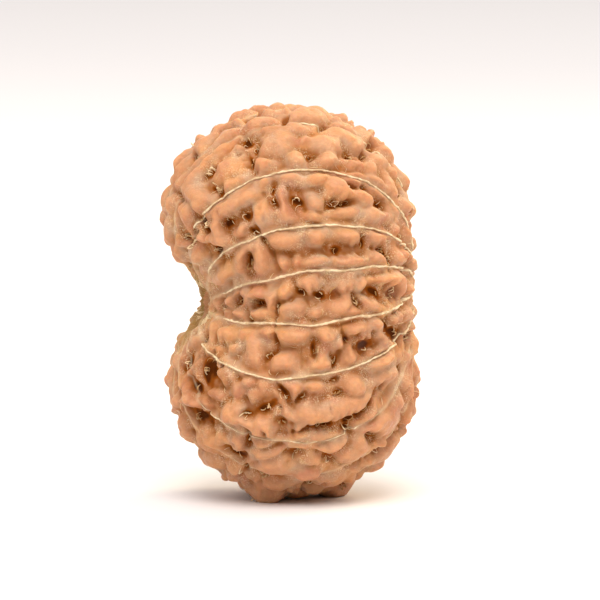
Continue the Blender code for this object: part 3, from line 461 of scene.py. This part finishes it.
def grownPits(pits, lumps):    # in the deepest places that the lumps leave
    draw = np.random.default_rng(growth["seed"] + 2)
    candidates = formPoints(unit(draw.normal(size=(growth["pitTries"], 3))))
    candidates = candidates[seamDistance(candidates) > growth["pitClearance"]]
    order = np.argsort(lumpField(candidates, lumps))
    centres = [pit[0] for pit in pits]
    kept = []
    for candidate in candidates[order]:
        room = growth["pitFrontRoom"] if candidate[1] < growth["pitFrontEdge"] else growth["pitRoom"]
        if np.all(np.linalg.norm(np.array(centres) - candidate, axis=1) > room):
            centres.append(candidate)
            kept.append(candidate)
    kept = np.array(kept[:growth["pitCount"]])
    longs = draw.normal(size=kept.shape)
    lengths = draw.uniform(*growth["pitLengths"], len(kept))
    widths = lengths * draw.uniform(*growth["pitWidths"], len(kept))
    return list(pits) + placed(kept, longs, lengths, widths, draw.uniform(*growth["pitDepths"], len(kept)))


seamTurns = findSeams()
feet = footMarks()
lumps = grownLumps(frontMarks(frontLumps))
pits = grownPits(frontMarks(frontPits), lumps)
print("marks laid out:", len(lumps), "lumps,", len(pits), "pits")


def surface(points):    # points of the form become the bead's surface, with what the colours need
    seed = growth["seed"]
    bent = points.copy()
    for size, length in relief["warps"]:
        bent += size * np.stack([ripple(points, length, seed + 3 + i) for i in range(3)], axis=1)
    fromThread = threadRadius(points)
    calm = smoothStep(fromThread, *relief["poleCalm"])
    seam = seamDistance(points)
    flank = smoothStep(seam, 0.0, relief["seamHalf"] + relief["seamFlank"] * calm)
    flank *= relief["poleShare"] + (1 - relief["poleShare"]) * calm
    level = relief["seamLevel"]
    swell = relief["swell"] * ripple(points, relief["swellLength"], seed + 9)
    height = level + (lumpField(bent, lumps) + swell - level) * flank
    near = np.exp(-(seam / relief["seamTint"]) ** 2)
    pole = fadeOut(fromThread, *relief["poleTint"])
    husk = fadeOut(fromThread, *relief["huskTint"]) * smoothStep(points[:, 1], *relief["huskFront"])
    height += relief["seamBead"] * near
    height += relief["grain"] * ripple(points, relief["grainLength"], seed + 7, 12)
    pit = np.zeros(len(points))
    dell = np.zeros(len(points))
    ragged = 1 + relief["pitRagged"] * ripple(points, relief["pitRaggedLength"], seed + 8, 12)
    for mark in pits:
        spread = reach(bent, mark) * ragged
        pit = np.maximum(pit, mark[-1] * fadeOut(spread, relief["pitFloor"], relief["pitRim"]))
        dell = np.maximum(dell, mark[-1] * fadeOut(spread, relief["pitRim"] / 2, relief["dellRim"]))
    height -= relief["dellDepth"] * dell * flank
    rise = height.copy()
    height -= relief["pitDepth"] * pit
    hollow = np.zeros(len(points))
    for centre, half, depth in beadForm["hollows"]:
        spread = np.linalg.norm((points - centre) / half, axis=1)
        hollow = np.maximum(hollow, depth * fadeOut(spread, relief["hollowFloor"], relief["hollowRim"]))
    height = np.maximum(height - hollow, footField(points))
    moved = points + height[:, None] * formNormals(points)
    moved[:, 2] = np.maximum(moved[:, 2], beadForm["floor"])
    return moved, {
        "rise": rise, "pit": pit, "seam": near, "dell": dell, "pole": pole, "husk": husk, "height": height}


def cavity(mesh, height, passes=30):    # how far each point lies below what is round it
    ends = np.empty(len(mesh.edges) * 2, int)
    mesh.edges.foreach_get("vertices", ends)
    first, second = ends.reshape(-1, 2).T
    count = len(height)
    shares = np.bincount(first, minlength=count) + np.bincount(second, minlength=count)
    level = height
    for step in range(passes):
        total = np.bincount(first, level[second], count) + np.bincount(second, level[first], count)
        level = (level + total / shares) / 2
    return level - height


# the bead itself, from a cube cut into a fine grid and blown up onto the form
def makeBead():
    bpy.ops.object.select_all(action="DESELECT")
    bpy.ops.mesh.primitive_cube_add(size=2)
    bead = bpy.context.object
    bead.name = "bead_surface"
    bpy.ops.object.mode_set(mode="EDIT")
    for cuts in beadForm["gridSteps"]:
        bpy.ops.mesh.subdivide(number_cuts=cuts)
    bpy.ops.object.mode_set(mode="OBJECT")
    mesh = bead.data
    corners = np.empty(len(mesh.vertices) * 3)
    mesh.vertices.foreach_get("co", corners)
    directions = unit(np.tan(corners.reshape(-1, 3) * math.pi / 4))
    points, shades = surface(formPoints(directions))
    shades["cavity"] = cavity(mesh, shades.pop("height"))
    for name, values in shades.items():
        layer = mesh.attributes.new(name, "FLOAT", "POINT")
        layer.data.foreach_set("value", values.astype(np.float32))
    return bead, points


bead, beadPoints = makeBead()
ownLow = beadPoints.min(axis=0)
ownHigh = beadPoints.max(axis=0)
cadLow, cadHigh = (np.array(corner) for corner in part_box("bead"))


def place(points):    # from millimetres round the middle to the frame, filling the solid's box
    return cadLow + (points - ownLow) / (ownHigh - ownLow) * (cadHigh - cadLow)


bead.data.vertices.foreach_set("co", place(beadPoints).ravel())
bead.data.update()
print("bead surface laid on")


def cutChannel():
    axis = threadFrame()[0]
    middle = place(((beadForm["leftPole"] + beadForm["rightPole"]) / 2)[None, :])[0]
    turn = Vector((0, 0, 1)).rotation_difference(Vector(axis)).to_euler()
    bpy.ops.object.select_all(action="DESELECT")
    radius = beadForm["channelWidth"] / 2000
    length = beadForm["drillLength"] / 1000
    bpy.ops.mesh.primitive_cylinder_add(
        vertices=32, radius=radius, depth=length, location=middle, rotation=turn)
    drill = bpy.context.object
    bpy.ops.object.select_all(action="DESELECT")
    bead.select_set(True)
    bpy.context.view_layer.objects.active = bead
    boolean = bead.modifiers.new("channel", "BOOLEAN")
    boolean.operation = "DIFFERENCE"
    boolean.solver = "EXACT"
    boolean.object = drill
    bpy.ops.object.modifier_apply(modifier="channel")
    bpy.data.objects.remove(drill)


cutChannel()
bpy.ops.object.shade_smooth()
print("thread channel cut, triangles:", sum(len(face.vertices) - 2 for face in bead.data.polygons))

# raised seam threads, one thin pale rib along each seam
seamRibs = {
    "seed": 60,
    "radius": 0.098,
    "steps": 300,
    "lift": 0.08,
    "liftUneven": (0.03, 3.0),    # size and length, also of the next three
    "thickSlow": (0.16, 1.3),
    "thickQuick": (0.24, 0.4),
    "kinks": (0.02, 0.55),
    "thickLimits": (0.2, 1.5),
    "sink": 0.14,    # a rib that thins out also sinks in
    "taperSteps": 5,
    "tip": 0.35,
    "sweepEnd": 0.1,
    "clearance": 0.15,    # of the floor
    "frontStarts": (20.0, 8.6, 5.6, 5.0, 5.4, 5.0, 9.8),    # distance from the thread axis at its left end
    "frontShares": (0.8, 1.0, 1.0, 1.0, 1.0, 1.0, 0.5),
    "rightStarts": (9.0, 4.0, 4.0, 4.0, 4.0, 4.0, 13.0),    # and at its right end
    "hiddenStart": 7.5,
    "hiddenShares": (0.1, 0.95),    # where it comes round to the front, and behind
    "hiddenFrom": (0.0, 4.0),    # and how far back these two lie
}


def tubePiece(name, paths, radii, width):    # one mesh of thin tubes along lists of points
    bpy.ops.object.select_all(action="DESELECT")
    bpy.ops.curve.primitive_bezier_curve_add()
    piece = bpy.context.object
    piece.name = name
    curve = piece.data
    curve.splines.clear()
    curve.dimensions = "3D"
    curve.bevel_depth = width / 1000
    curve.bevel_resolution = 0
    curve.use_fill_caps = True
    for path, radius in zip(paths, radii):
        spline = curve.splines.new("POLY")
        spline.points.add(len(path) - 1)
        spots = np.ones((len(path), 4))
        spots[:, :3] = place(path)
        spline.points.foreach_set("co", spots.ravel())
        spline.points.foreach_set("radius", radius)
    bpy.ops.object.convert(target="MESH")
    bpy.ops.object.shade_smooth()
    return bpy.context.object


def keepOffFloor(points):
    points[:, 2] = np.maximum(points[:, 2], beadForm["floor"] + seamRibs["clearance"])
    return points


def uneven(points, name, seed):
    size, length = seamRibs[name]
    return size * ripple(points, length, seed)


def makeRibs():
    axis, top, back = threadFrame()
    left = beadForm["leftPole"]
    middle = left + axis * np.linalg.norm(beadForm["rightPole"] - left) / 2
    sweep = np.linspace(seamRibs["sweepEnd"], math.pi - seamRibs["sweepEnd"], seamRibs["steps"])
    paths = []
    radii = []
    for index, turn in enumerate(seamTurns):
        front = index < len(seamRibs["frontStarts"])
        start = seamRibs["frontStarts"][index] if front else seamRibs["hiddenStart"]
        end = seamRibs["rightStarts"][index] if front else seamRibs["hiddenStart"]
        out = math.sin(turn) * top - math.cos(turn) * back
        rays = np.sin(sweep)[:, None] * out - np.cos(sweep)[:, None] * axis
        side = np.cross(axis, out)
        points = meetForm(np.broadcast_to(middle, rays.shape), rays, 0.0, beadForm["beyond"])
        points = pulledToForm(points + seamWaver(points)[:, None] * side)
        shown = threadRadius(points) > np.where(sweep < math.pi / 2, start, end)
        points = points[shown]
        low, high = seamRibs["hiddenShares"]
        behind = low + (high - low) * smoothStep(points[:, 1], *seamRibs["hiddenFrom"])
        share = np.full(len(points), seamRibs["frontShares"][index]) if front else behind
        seed = seamRibs["seed"] + index
        lift = seamRibs["lift"] + uneven(points, "liftUneven", seed) - seamRibs["sink"] * (1 - share)
        ribPoints = surface(points)[0] + lift[:, None] * formNormals(points)
        ribPoints += uneven(points, "kinks", seed + 90)[:, None] * side
        taper = smoothStep(np.arange(len(points)), 0, seamRibs["taperSteps"])
        thick = 1 + uneven(points, "thickSlow", seed + 30) + uneven(points, "thickQuick", seed + 60)
        thick *= share * (seamRibs["tip"] + (1 - seamRibs["tip"]) * taper)
        paths.append(keepOffFloor(ribPoints))
        radii.append(np.clip(thick, *seamRibs["thickLimits"]))
    return tubePiece("seam_ribs", paths, radii, seamRibs["radius"])


ribs = makeRibs()
print("seam ribs laid")

# dry fibres: curled ones in the pits, straight ones round the two ends of the thread channel
strands = {
    "seed": 41,
    "width": 0.045,
    "points": 9,
    "perPit": (1, 4),    # fewest and most
    "curl": (0.5, 2.0),    # how far round the pit, in radians
    "pitFrom": (0.7, 1.15),    # where a strand starts and ends, against the pit's size
    "pitTo": (0.1, 0.6),
    "bow": (0.1, 0.45),
    "thick": (0.8, 1.7),
    "thickUneven": (0.6, 1.3),
    "taper": (0.7, 1.0, 0.35),    # thickness at the start, the middle and the end
    "lift": 0.02,
    "widest": 0.65,    # they keep to the middle of the larger pits
    "aroundPole": 110,
    "poleFrom": (1.15, 1.5),
    "poleTo": (1.9, 3.3),
    "poleSway": (0.12, 3.0, 6.0),    # size, pace along the strand, shift at most
    "poleBow": 0.06,
    "poleThick": 1.1,
    "hairs": 1100,    # tried, those low between the lumps are kept
    "hairRise": -0.35,
    "hairLength": (0.25, 0.8),
    "hairBend": 0.5,
    "hairBow": (0.05, 0.25),    # least, and what may come on top
    "hairThick": 0.5,
}


def drawnRun(draw, first, last):    # from one drawn distance to another
    return np.linspace(draw.uniform(*first), draw.uniform(*last), strands["points"])


def pitStrands(draw):
    paths = []
    steps = np.linspace(0, 1, strands["points"])
    fewest, most = strands["perPit"]
    for centre, _, long, cross, halfLength, halfWidth, _ in pits:
        halfLength = min(halfLength, strands["widest"])
        halfWidth = min(halfWidth, strands["widest"])
        for strand in range(draw.integers(fewest, most + 1)):
            start = draw.uniform(0, 2 * math.pi)
            turn = start + steps * draw.uniform(*strands["curl"]) * draw.choice((-1, 1))
            radius = drawnRun(draw, strands["pitFrom"], strands["pitTo"])
            sideways = np.outer(np.cos(turn) * radius * halfLength, long)
            sideways += np.outer(np.sin(turn) * radius * halfWidth, cross)
            bow = draw.uniform(*strands["bow"]) * np.sin(steps * math.pi)
            paths.append((centre + sideways, bow))
    return paths


def poleStrands(draw):
    paths = []
    top, back = threadFrame()[1:]
    sway, pace, shift = strands["poleSway"]
    steps = np.linspace(0, 1, strands["points"])
    for pole in (beadForm["leftPole"], beadForm["rightPole"]):
        for strand in range(strands["aroundPole"]):
            start = draw.uniform(0, 2 * math.pi)
            turn = start + sway * np.sin(steps * pace + draw.uniform(0, shift))
            radius = drawnRun(draw, strands["poleFrom"], strands["poleTo"])
            spots = pole + np.outer(np.cos(turn) * radius, top) + np.outer(np.sin(turn) * radius, back)
            paths.append((spots, strands["poleBow"] * np.sin(steps * math.pi)))
    return paths


def looseHairs(draw):    # short hairs caught on the surface
    paths = []
    least, more = strands["hairBow"]
    steps = np.linspace(-0.5, 0.5, strands["points"])
    spots = formPoints(unit(draw.normal(size=(strands["hairs"], 3))))
    spots = spots[surface(spots)[1]["rise"] < strands["hairRise"]]
    normals = formNormals(spots)
    for spot, normal in zip(spots, normals):
        along = unit(np.cross(normal, draw.normal(size=3)))
        side = np.cross(normal, along)
        length = draw.uniform(*strands["hairLength"])
        bend = draw.normal(0, strands["hairBend"])
        path = spot + np.outer(steps * length, along) + np.outer(steps**2 * length * bend, side)
        paths.append((path, least + more * draw.random() * np.cos(steps * math.pi)))
    return paths


def makeStrands():
    draw = np.random.default_rng(strands["seed"])
    laid = [(path, bow, draw.uniform(*strands["thick"])) for path, bow in pitStrands(draw)]
    laid += [(path, bow, strands["poleThick"]) for path, bow in poleStrands(draw)]
    laid += [(path, bow, strands["hairThick"]) for path, bow in looseHairs(draw)]
    spots = pulledToForm(np.concatenate([path for path, _, _ in laid]))
    lifts = np.concatenate([bow for _, bow, _ in laid]) + strands["lift"]
    lifted = keepOffFloor(surface(spots)[0] + lifts[:, None] * formNormals(spots))
    count = strands["points"]
    paths = [lifted[start:start + count] for start in range(0, len(lifted), count)]
    taper = np.interp(np.arange(count), (0, count // 2, count - 1), strands["taper"])
    radii = [taper * size * draw.uniform(*strands["thickUneven"]) for _, _, size in laid]
    return tubePiece("dry_fibres", paths, radii, strands["width"])


fibres = makeStrands()
print("fibres laid, triangles:", sum(len(face.vertices) - 2 for face in fibres.data.polygons))


# materials
beadFinish = {
    "top": (0.58, 0.265, 0.112),
    # painted highlight for the ridges that stand above what is round them
    "paintedHighlight": (0.61, 0.32, 0.16),
    "peach": (0.65, 0.28, 0.085),
    "red": (0.46, 0.16, 0.085),
    "mid": (0.49, 0.222, 0.102),
    "dust": (0.50, 0.32, 0.205),
    "pale": (0.50, 0.33, 0.18),
    "husk": (0.33, 0.18, 0.045),
    "brownish": (0.36, 0.14, 0.05),
    # painted shade for the creases and hollows between the lumps
    "low": (0.30, 0.090, 0.012),
    # painted shade round the pits
    "shade": (0.26, 0.066, 0.006),
    # the pits' own dark brown, darkened further as painted shade
    "pit": (0.075, 0.016, 0.001),
    "seam": (0.86, 0.71, 0.48),
    "creamDust": (0.64, 0.46, 0.27),
    "straw": (0.84, 0.66, 0.41),
    "brown": (0.44, 0.24, 0.09),
    "roughness": (0.35, 0.75),    # of the lump tops and of the valleys
    "gleam": (0.5, 0.03),    # how strongly these mirror the light
    "mottle": (0.8, 1.22),    # darkest and lightest of a fine speckle
    "inner": 0.35,    # share of the light that enters the wood, its depth and colours
    "innerDepth": 0.0013,
    "innerSpread": (1.0, 0.35, 0.12),
    "fibreRoughness": 0.8,
    "fibreGleam": 0.12,
}

# uneven patches: noise scale, detail and roughness, where they start and are full, strength
patches = {
    "dusty": (260.0, 4.0, 0.55, 0.35, 0.65, 1.0),
    "peachy": (250.0, 2.0, 0.55, 0.5, 0.64, 0.6),
    "reddish": (330.0, 3.0, 0.55, 0.54, 0.7, 0.55),
    "powder": (8600.0, 2.0, 0.6, 0.43, 0.74, 1.0),
    "drift": (700.0, 3.0, 0.6, 0.42, 0.68, 1.0),
    "cream": (1500.0, 3.0, 0.6, 0.38, 0.62, 1.0),
    "straw": (620.0, 3.0, 0.6, 0.38, 0.62, 1.0),
}

# tints that follow the form, painted highlight and painted shade among them: where they start and are
# full, strength
formTints = {
    "tops": (-0.2, 0.6, 1.0),
    "lows": (0.45, -0.5, 1.0),
    # painted highlight on the ridges, placed by the cavity
    "edges": (-0.05, -0.3, 0.3),
    "dells": (0.15, 0.9, 0.55),
    # painted shade in the creases between the lumps, placed by the cavity
    "hollows": (0.0, 0.32, 0.85),
    # painted shade round and in the pits, over their own dark brown
    "pitShade": (0.05, 0.45, 1.0),
    "pitBrownAndShade": (0.4, 0.85, 1.0),
    "pitClean": (0.45, 0.1, 1.0),    # no powder in the pits
}

woodTexture = {
    "levelScale": 420.0,    # of the noise that makes the colours' heights uneven
    "levelUneven": (0.7, -0.35),    # its strength and its shift
    "powderInLows": (0.72, 0.08),    # how much more lies in the valleys, and how much everywhere
    "poleStrength": 0.35,
    "seamStrength": 0.3,
    "huskStrength": 0.85,
    "speckle": (2600.0, 3.0, 0.7),    # noise scale, detail and roughness
    "dents": (900.0, 2.0, 0.5),
    "dentDepth": (0.6, 0.0003),    # strength and distance
    "grain": (4200.0, 4.0, 0.65),
    "grainDepth": (1.0, 0.0001),
}


def colour(name):
    return (*beadFinish[name], 1.0)


def feed(tree, socket, value):    # a socket takes another socket's value or a fixed one
    if isinstance(value, bpy.types.NodeSocket):
        tree.links.new(value, socket)
    else:
        socket.default_value = value


def mixColours(tree, factor, first, second, mode="MIX"):
    mix = tree.nodes.new("ShaderNodeMix")
    mix.data_type = "RGBA"
    mix.blend_type = mode
    feed(tree, mix.inputs[0], factor)
    feed(tree, mix.inputs[6], first)
    feed(tree, mix.inputs[7], second)
    return mix.outputs[2]


def combine(tree, kind, *values):
    node = tree.nodes.new("ShaderNodeMath")
    node.operation = kind
    for socket, value in zip(node.inputs, values):
        feed(tree, socket, value)
    return node.outputs[0]


def readAttribute(tree, name):
    node = tree.nodes.new("ShaderNodeAttribute")
    node.attribute_name = name
    return node.outputs["Fac"]


def ramp(tree, value, low, high, strength):    # zero at low, the full strength at high
    node = tree.nodes.new("ShaderNodeMapRange")
    node.interpolation_type = "SMOOTHSTEP"
    tree.links.new(value, node.inputs["Value"])
    node.inputs["From Min"].default_value = low
    node.inputs["From Max"].default_value = high
    return combine(tree, "MULTIPLY", node.outputs["Result"], strength)


def between(tree, value, limits):    # zero and one become the two limits
    node = tree.nodes.new("ShaderNodeMapRange")
    tree.links.new(value, node.inputs["Value"])
    node.inputs["To Min"].default_value, node.inputs["To Max"].default_value = limits
    return node.outputs["Result"]


def noise(tree, scale, detail=3.0, roughness=0.55):
    coordinates = tree.nodes.new("ShaderNodeTexCoord")
    node = tree.nodes.new("ShaderNodeTexNoise")
    tree.links.new(coordinates.outputs["Object"], node.inputs["Vector"])
    node.inputs["Scale"].default_value = scale
    node.inputs["Detail"].default_value = detail
    node.inputs["Roughness"].default_value = roughness
    return node.outputs["Fac"]


def patch(tree, name):
    scale, detail, roughness, *limits = patches[name]
    return ramp(tree, noise(tree, scale, detail, roughness), *limits)


def bump(tree, texture, depth):
    node = tree.nodes.new("ShaderNodeBump")
    node.inputs["Strength"].default_value, node.inputs["Distance"].default_value = woodTexture[depth]
    tree.links.new(noise(tree, *woodTexture[texture]), node.inputs["Height"])
    return node


def seedWood():
    material = bpy.data.materials.new("seed_wood")
    material.use_nodes = True
    tree = material.node_tree
    shader = tree.nodes["Principled BSDF"]
    pit = readAttribute(tree, "pit")
    # the cavity, how far each point lies below what is round it, places the painted shade in the creases
    # and the painted highlight on the ridges
    depth = readAttribute(tree, "cavity")
    shift = noise(tree, woodTexture["levelScale"])
    shift = combine(tree, "MULTIPLY_ADD", shift, *woodTexture["levelUneven"])
    level = combine(tree, "ADD", readAttribute(tree, "rise"), shift)
    low = ramp(tree, level, *formTints["lows"])
    powder = patch(tree, "powder")
    settled = combine(tree, "MULTIPLY_ADD", low, *woodTexture["powderInLows"])
    for share in (settled, patch(tree, "drift"), ramp(tree, pit, *formTints["pitClean"])):
        powder = combine(tree, "MULTIPLY", powder, share)
    poleDust = combine(tree, "MULTIPLY", readAttribute(tree, "pole"), woodTexture["poleStrength"])
    seamDust = combine(tree, "MULTIPLY", readAttribute(tree, "seam"), woodTexture["seamStrength"])
    huskTint = combine(tree, "MULTIPLY", readAttribute(tree, "husk"), woodTexture["huskStrength"])
    tint = mixColours(tree, patch(tree, "dusty"), colour("mid"), colour("dust"))
    for share, name in (    # each over the ones before
        (ramp(tree, level, *formTints["tops"]), "top"),
        (patch(tree, "peachy"), "peach"),
        (patch(tree, "reddish"), "red"),
        # painted highlight on the ridges
        (ramp(tree, depth, *formTints["edges"]), "paintedHighlight"),
        (poleDust, "pale"),
        (ramp(tree, readAttribute(tree, "dell"), *formTints["dells"]), "brownish"),
        # painted shade in the creases between the lumps
        (ramp(tree, depth, *formTints["hollows"]), "low"),
        # painted shade round and in the pits, over their own dark brown
        (ramp(tree, pit, *formTints["pitShade"]), "shade"),
        (ramp(tree, pit, *formTints["pitBrownAndShade"]), "pit"),
        (powder, "seam"),
        (seamDust, "seam"),
        (huskTint, "husk"),
    ):
        tint = mixColours(tree, share, tint, colour(name))
    speckle = between(tree, noise(tree, *woodTexture["speckle"]), beadFinish["mottle"])
    tint = mixColours(tree, 1.0, tint, speckle, "MULTIPLY")
    tree.links.new(tint, shader.inputs["Base Color"])
    tree.links.new(between(tree, low, beadFinish["roughness"]), shader.inputs["Roughness"])
    tree.links.new(between(tree, low, beadFinish["gleam"]), shader.inputs["Specular IOR Level"])
    shader.inputs["Subsurface Weight"].default_value = beadFinish["inner"]
    shader.inputs["Subsurface Radius"].default_value = beadFinish["innerSpread"]
    shader.inputs["Subsurface Scale"].default_value = beadFinish["innerDepth"]
    dents = bump(tree, "dents", "dentDepth")
    grain = bump(tree, "grain", "grainDepth")
    tree.links.new(dents.outputs["Normal"], grain.inputs["Normal"])
    tree.links.new(grain.outputs["Normal"], shader.inputs["Normal"])
    return material


def fibreFinish(name, first, second, streaks):
    material = bpy.data.materials.new(name)
    material.use_nodes = True
    tree = material.node_tree
    shader = tree.nodes["Principled BSDF"]
    tint = mixColours(tree, patch(tree, streaks), colour(first), colour(second))
    tree.links.new(tint, shader.inputs["Base Color"])
    shader.inputs["Roughness"].default_value = beadFinish["fibreRoughness"]
    shader.inputs["Specular IOR Level"].default_value = beadFinish["fibreGleam"]
    return material


for piece, finish in (
    (bead, seedWood()),
    (ribs, fibreFinish("seam_cream", "seam", "creamDust", "cream")),
    (fibres, fibreFinish("dry_straw", "straw", "brown", "straw")),
):
    piece.data.materials.clear()
    piece.data.materials.append(finish)
print("materials made")

for piece in (bead, ribs, fibres):
    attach(piece, "root")
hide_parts("bead")


# floor, lights and camera
studio = {
    "floorSize": 8.0,
    "floorTint": (0.80, 0.785, 0.815),
    "floorRoughness": 0.8,
    "floorGleam": 0.1,
    "softboxes": (    # name, place, size, power, tint
        ("key_light", (0.05, -1.1, 1.5), 1.2, 30.5, (1.0, 0.95, 0.88)),
        ("back_light", (0.35, 0.3, 0.35), 0.25, 1.9, (1.0, 0.86, 0.55)),
    ),
    "softboxAim": (0, 0, 0.017),
    "ceilingPower": 2.6,
    "ceilingTurn": (math.radians(-7), math.radians(-3), 0),
    "ceilingSpread": math.radians(140),
    "ceilingTint": (1.0, 0.975, 0.94),
    "roomTint": (1.0, 0.85, 0.66),
    "roomStrength": 0.16,
}


def makeFloor():
    bpy.ops.object.select_all(action="DESELECT")
    bpy.ops.mesh.primitive_plane_add(size=studio["floorSize"])
    floor = bpy.context.object
    floor.name = "floor"
    material = bpy.data.materials.new("floor_white")
    material.use_nodes = True
    shader = material.node_tree.nodes["Principled BSDF"]
    shader.inputs["Base Color"].default_value = (*studio["floorTint"], 1.0)
    shader.inputs["Roughness"].default_value = studio["floorRoughness"]
    shader.inputs["Specular IOR Level"].default_value = studio["floorGleam"]
    floor.data.materials.append(material)


def addDaylight():    # one broad, even light from above keeps the whole floor pale
    bpy.ops.object.light_add(type="SUN", rotation=studio["ceilingTurn"])
    lamp = bpy.context.object
    lamp.name = "ceiling_light"
    lamp.data.energy = studio["ceilingPower"]
    lamp.data.angle = studio["ceilingSpread"]
    lamp.data.color = studio["ceilingTint"]


def addSoftbox(name, location, size, power, tint):
    bpy.ops.object.light_add(type="AREA", location=location)
    lamp = bpy.context.object
    lamp.name = name
    lamp.data.size = size
    lamp.data.energy = power
    lamp.data.color = tint
    aim = Vector(studio["softboxAim"]) - Vector(location)
    lamp.rotation_euler = aim.to_track_quat("-Z", "Y").to_euler()


def makeCamera():
    rise = shot["elevation"]
    back = Vector((0, -math.cos(rise), math.sin(rise)))
    aim = Vector(place(np.array([shot["aim"]]))[0])
    bpy.ops.object.camera_add(location=aim + back * shot["distance"] / 1000)
    camera = bpy.context.object
    camera.rotation_euler = (-back).to_track_quat("-Z", "Y").to_euler()
    camera.data.sensor_width = shot["sensor"]
    camera.data.lens = shot["sensor"] * shot["distance"] / shot["frameWidth"]
    camera.data.clip_start, camera.data.clip_end = shot["clip"]
    bpy.context.scene.camera = camera


def lightRoom():
    world = bpy.data.worlds.new("soft_room")
    world.use_nodes = True
    background = world.node_tree.nodes["Background"]
    background.inputs["Color"].default_value = (*studio["roomTint"], 1.0)
    background.inputs["Strength"].default_value = studio["roomStrength"]
    bpy.context.scene.world = world


makeFloor()
addDaylight()
for softbox in studio["softboxes"]:
    addSoftbox(*softbox)
makeCamera()
lightRoom()
bpy.context.scene.view_settings.view_transform = "Standard"
print("stage set")
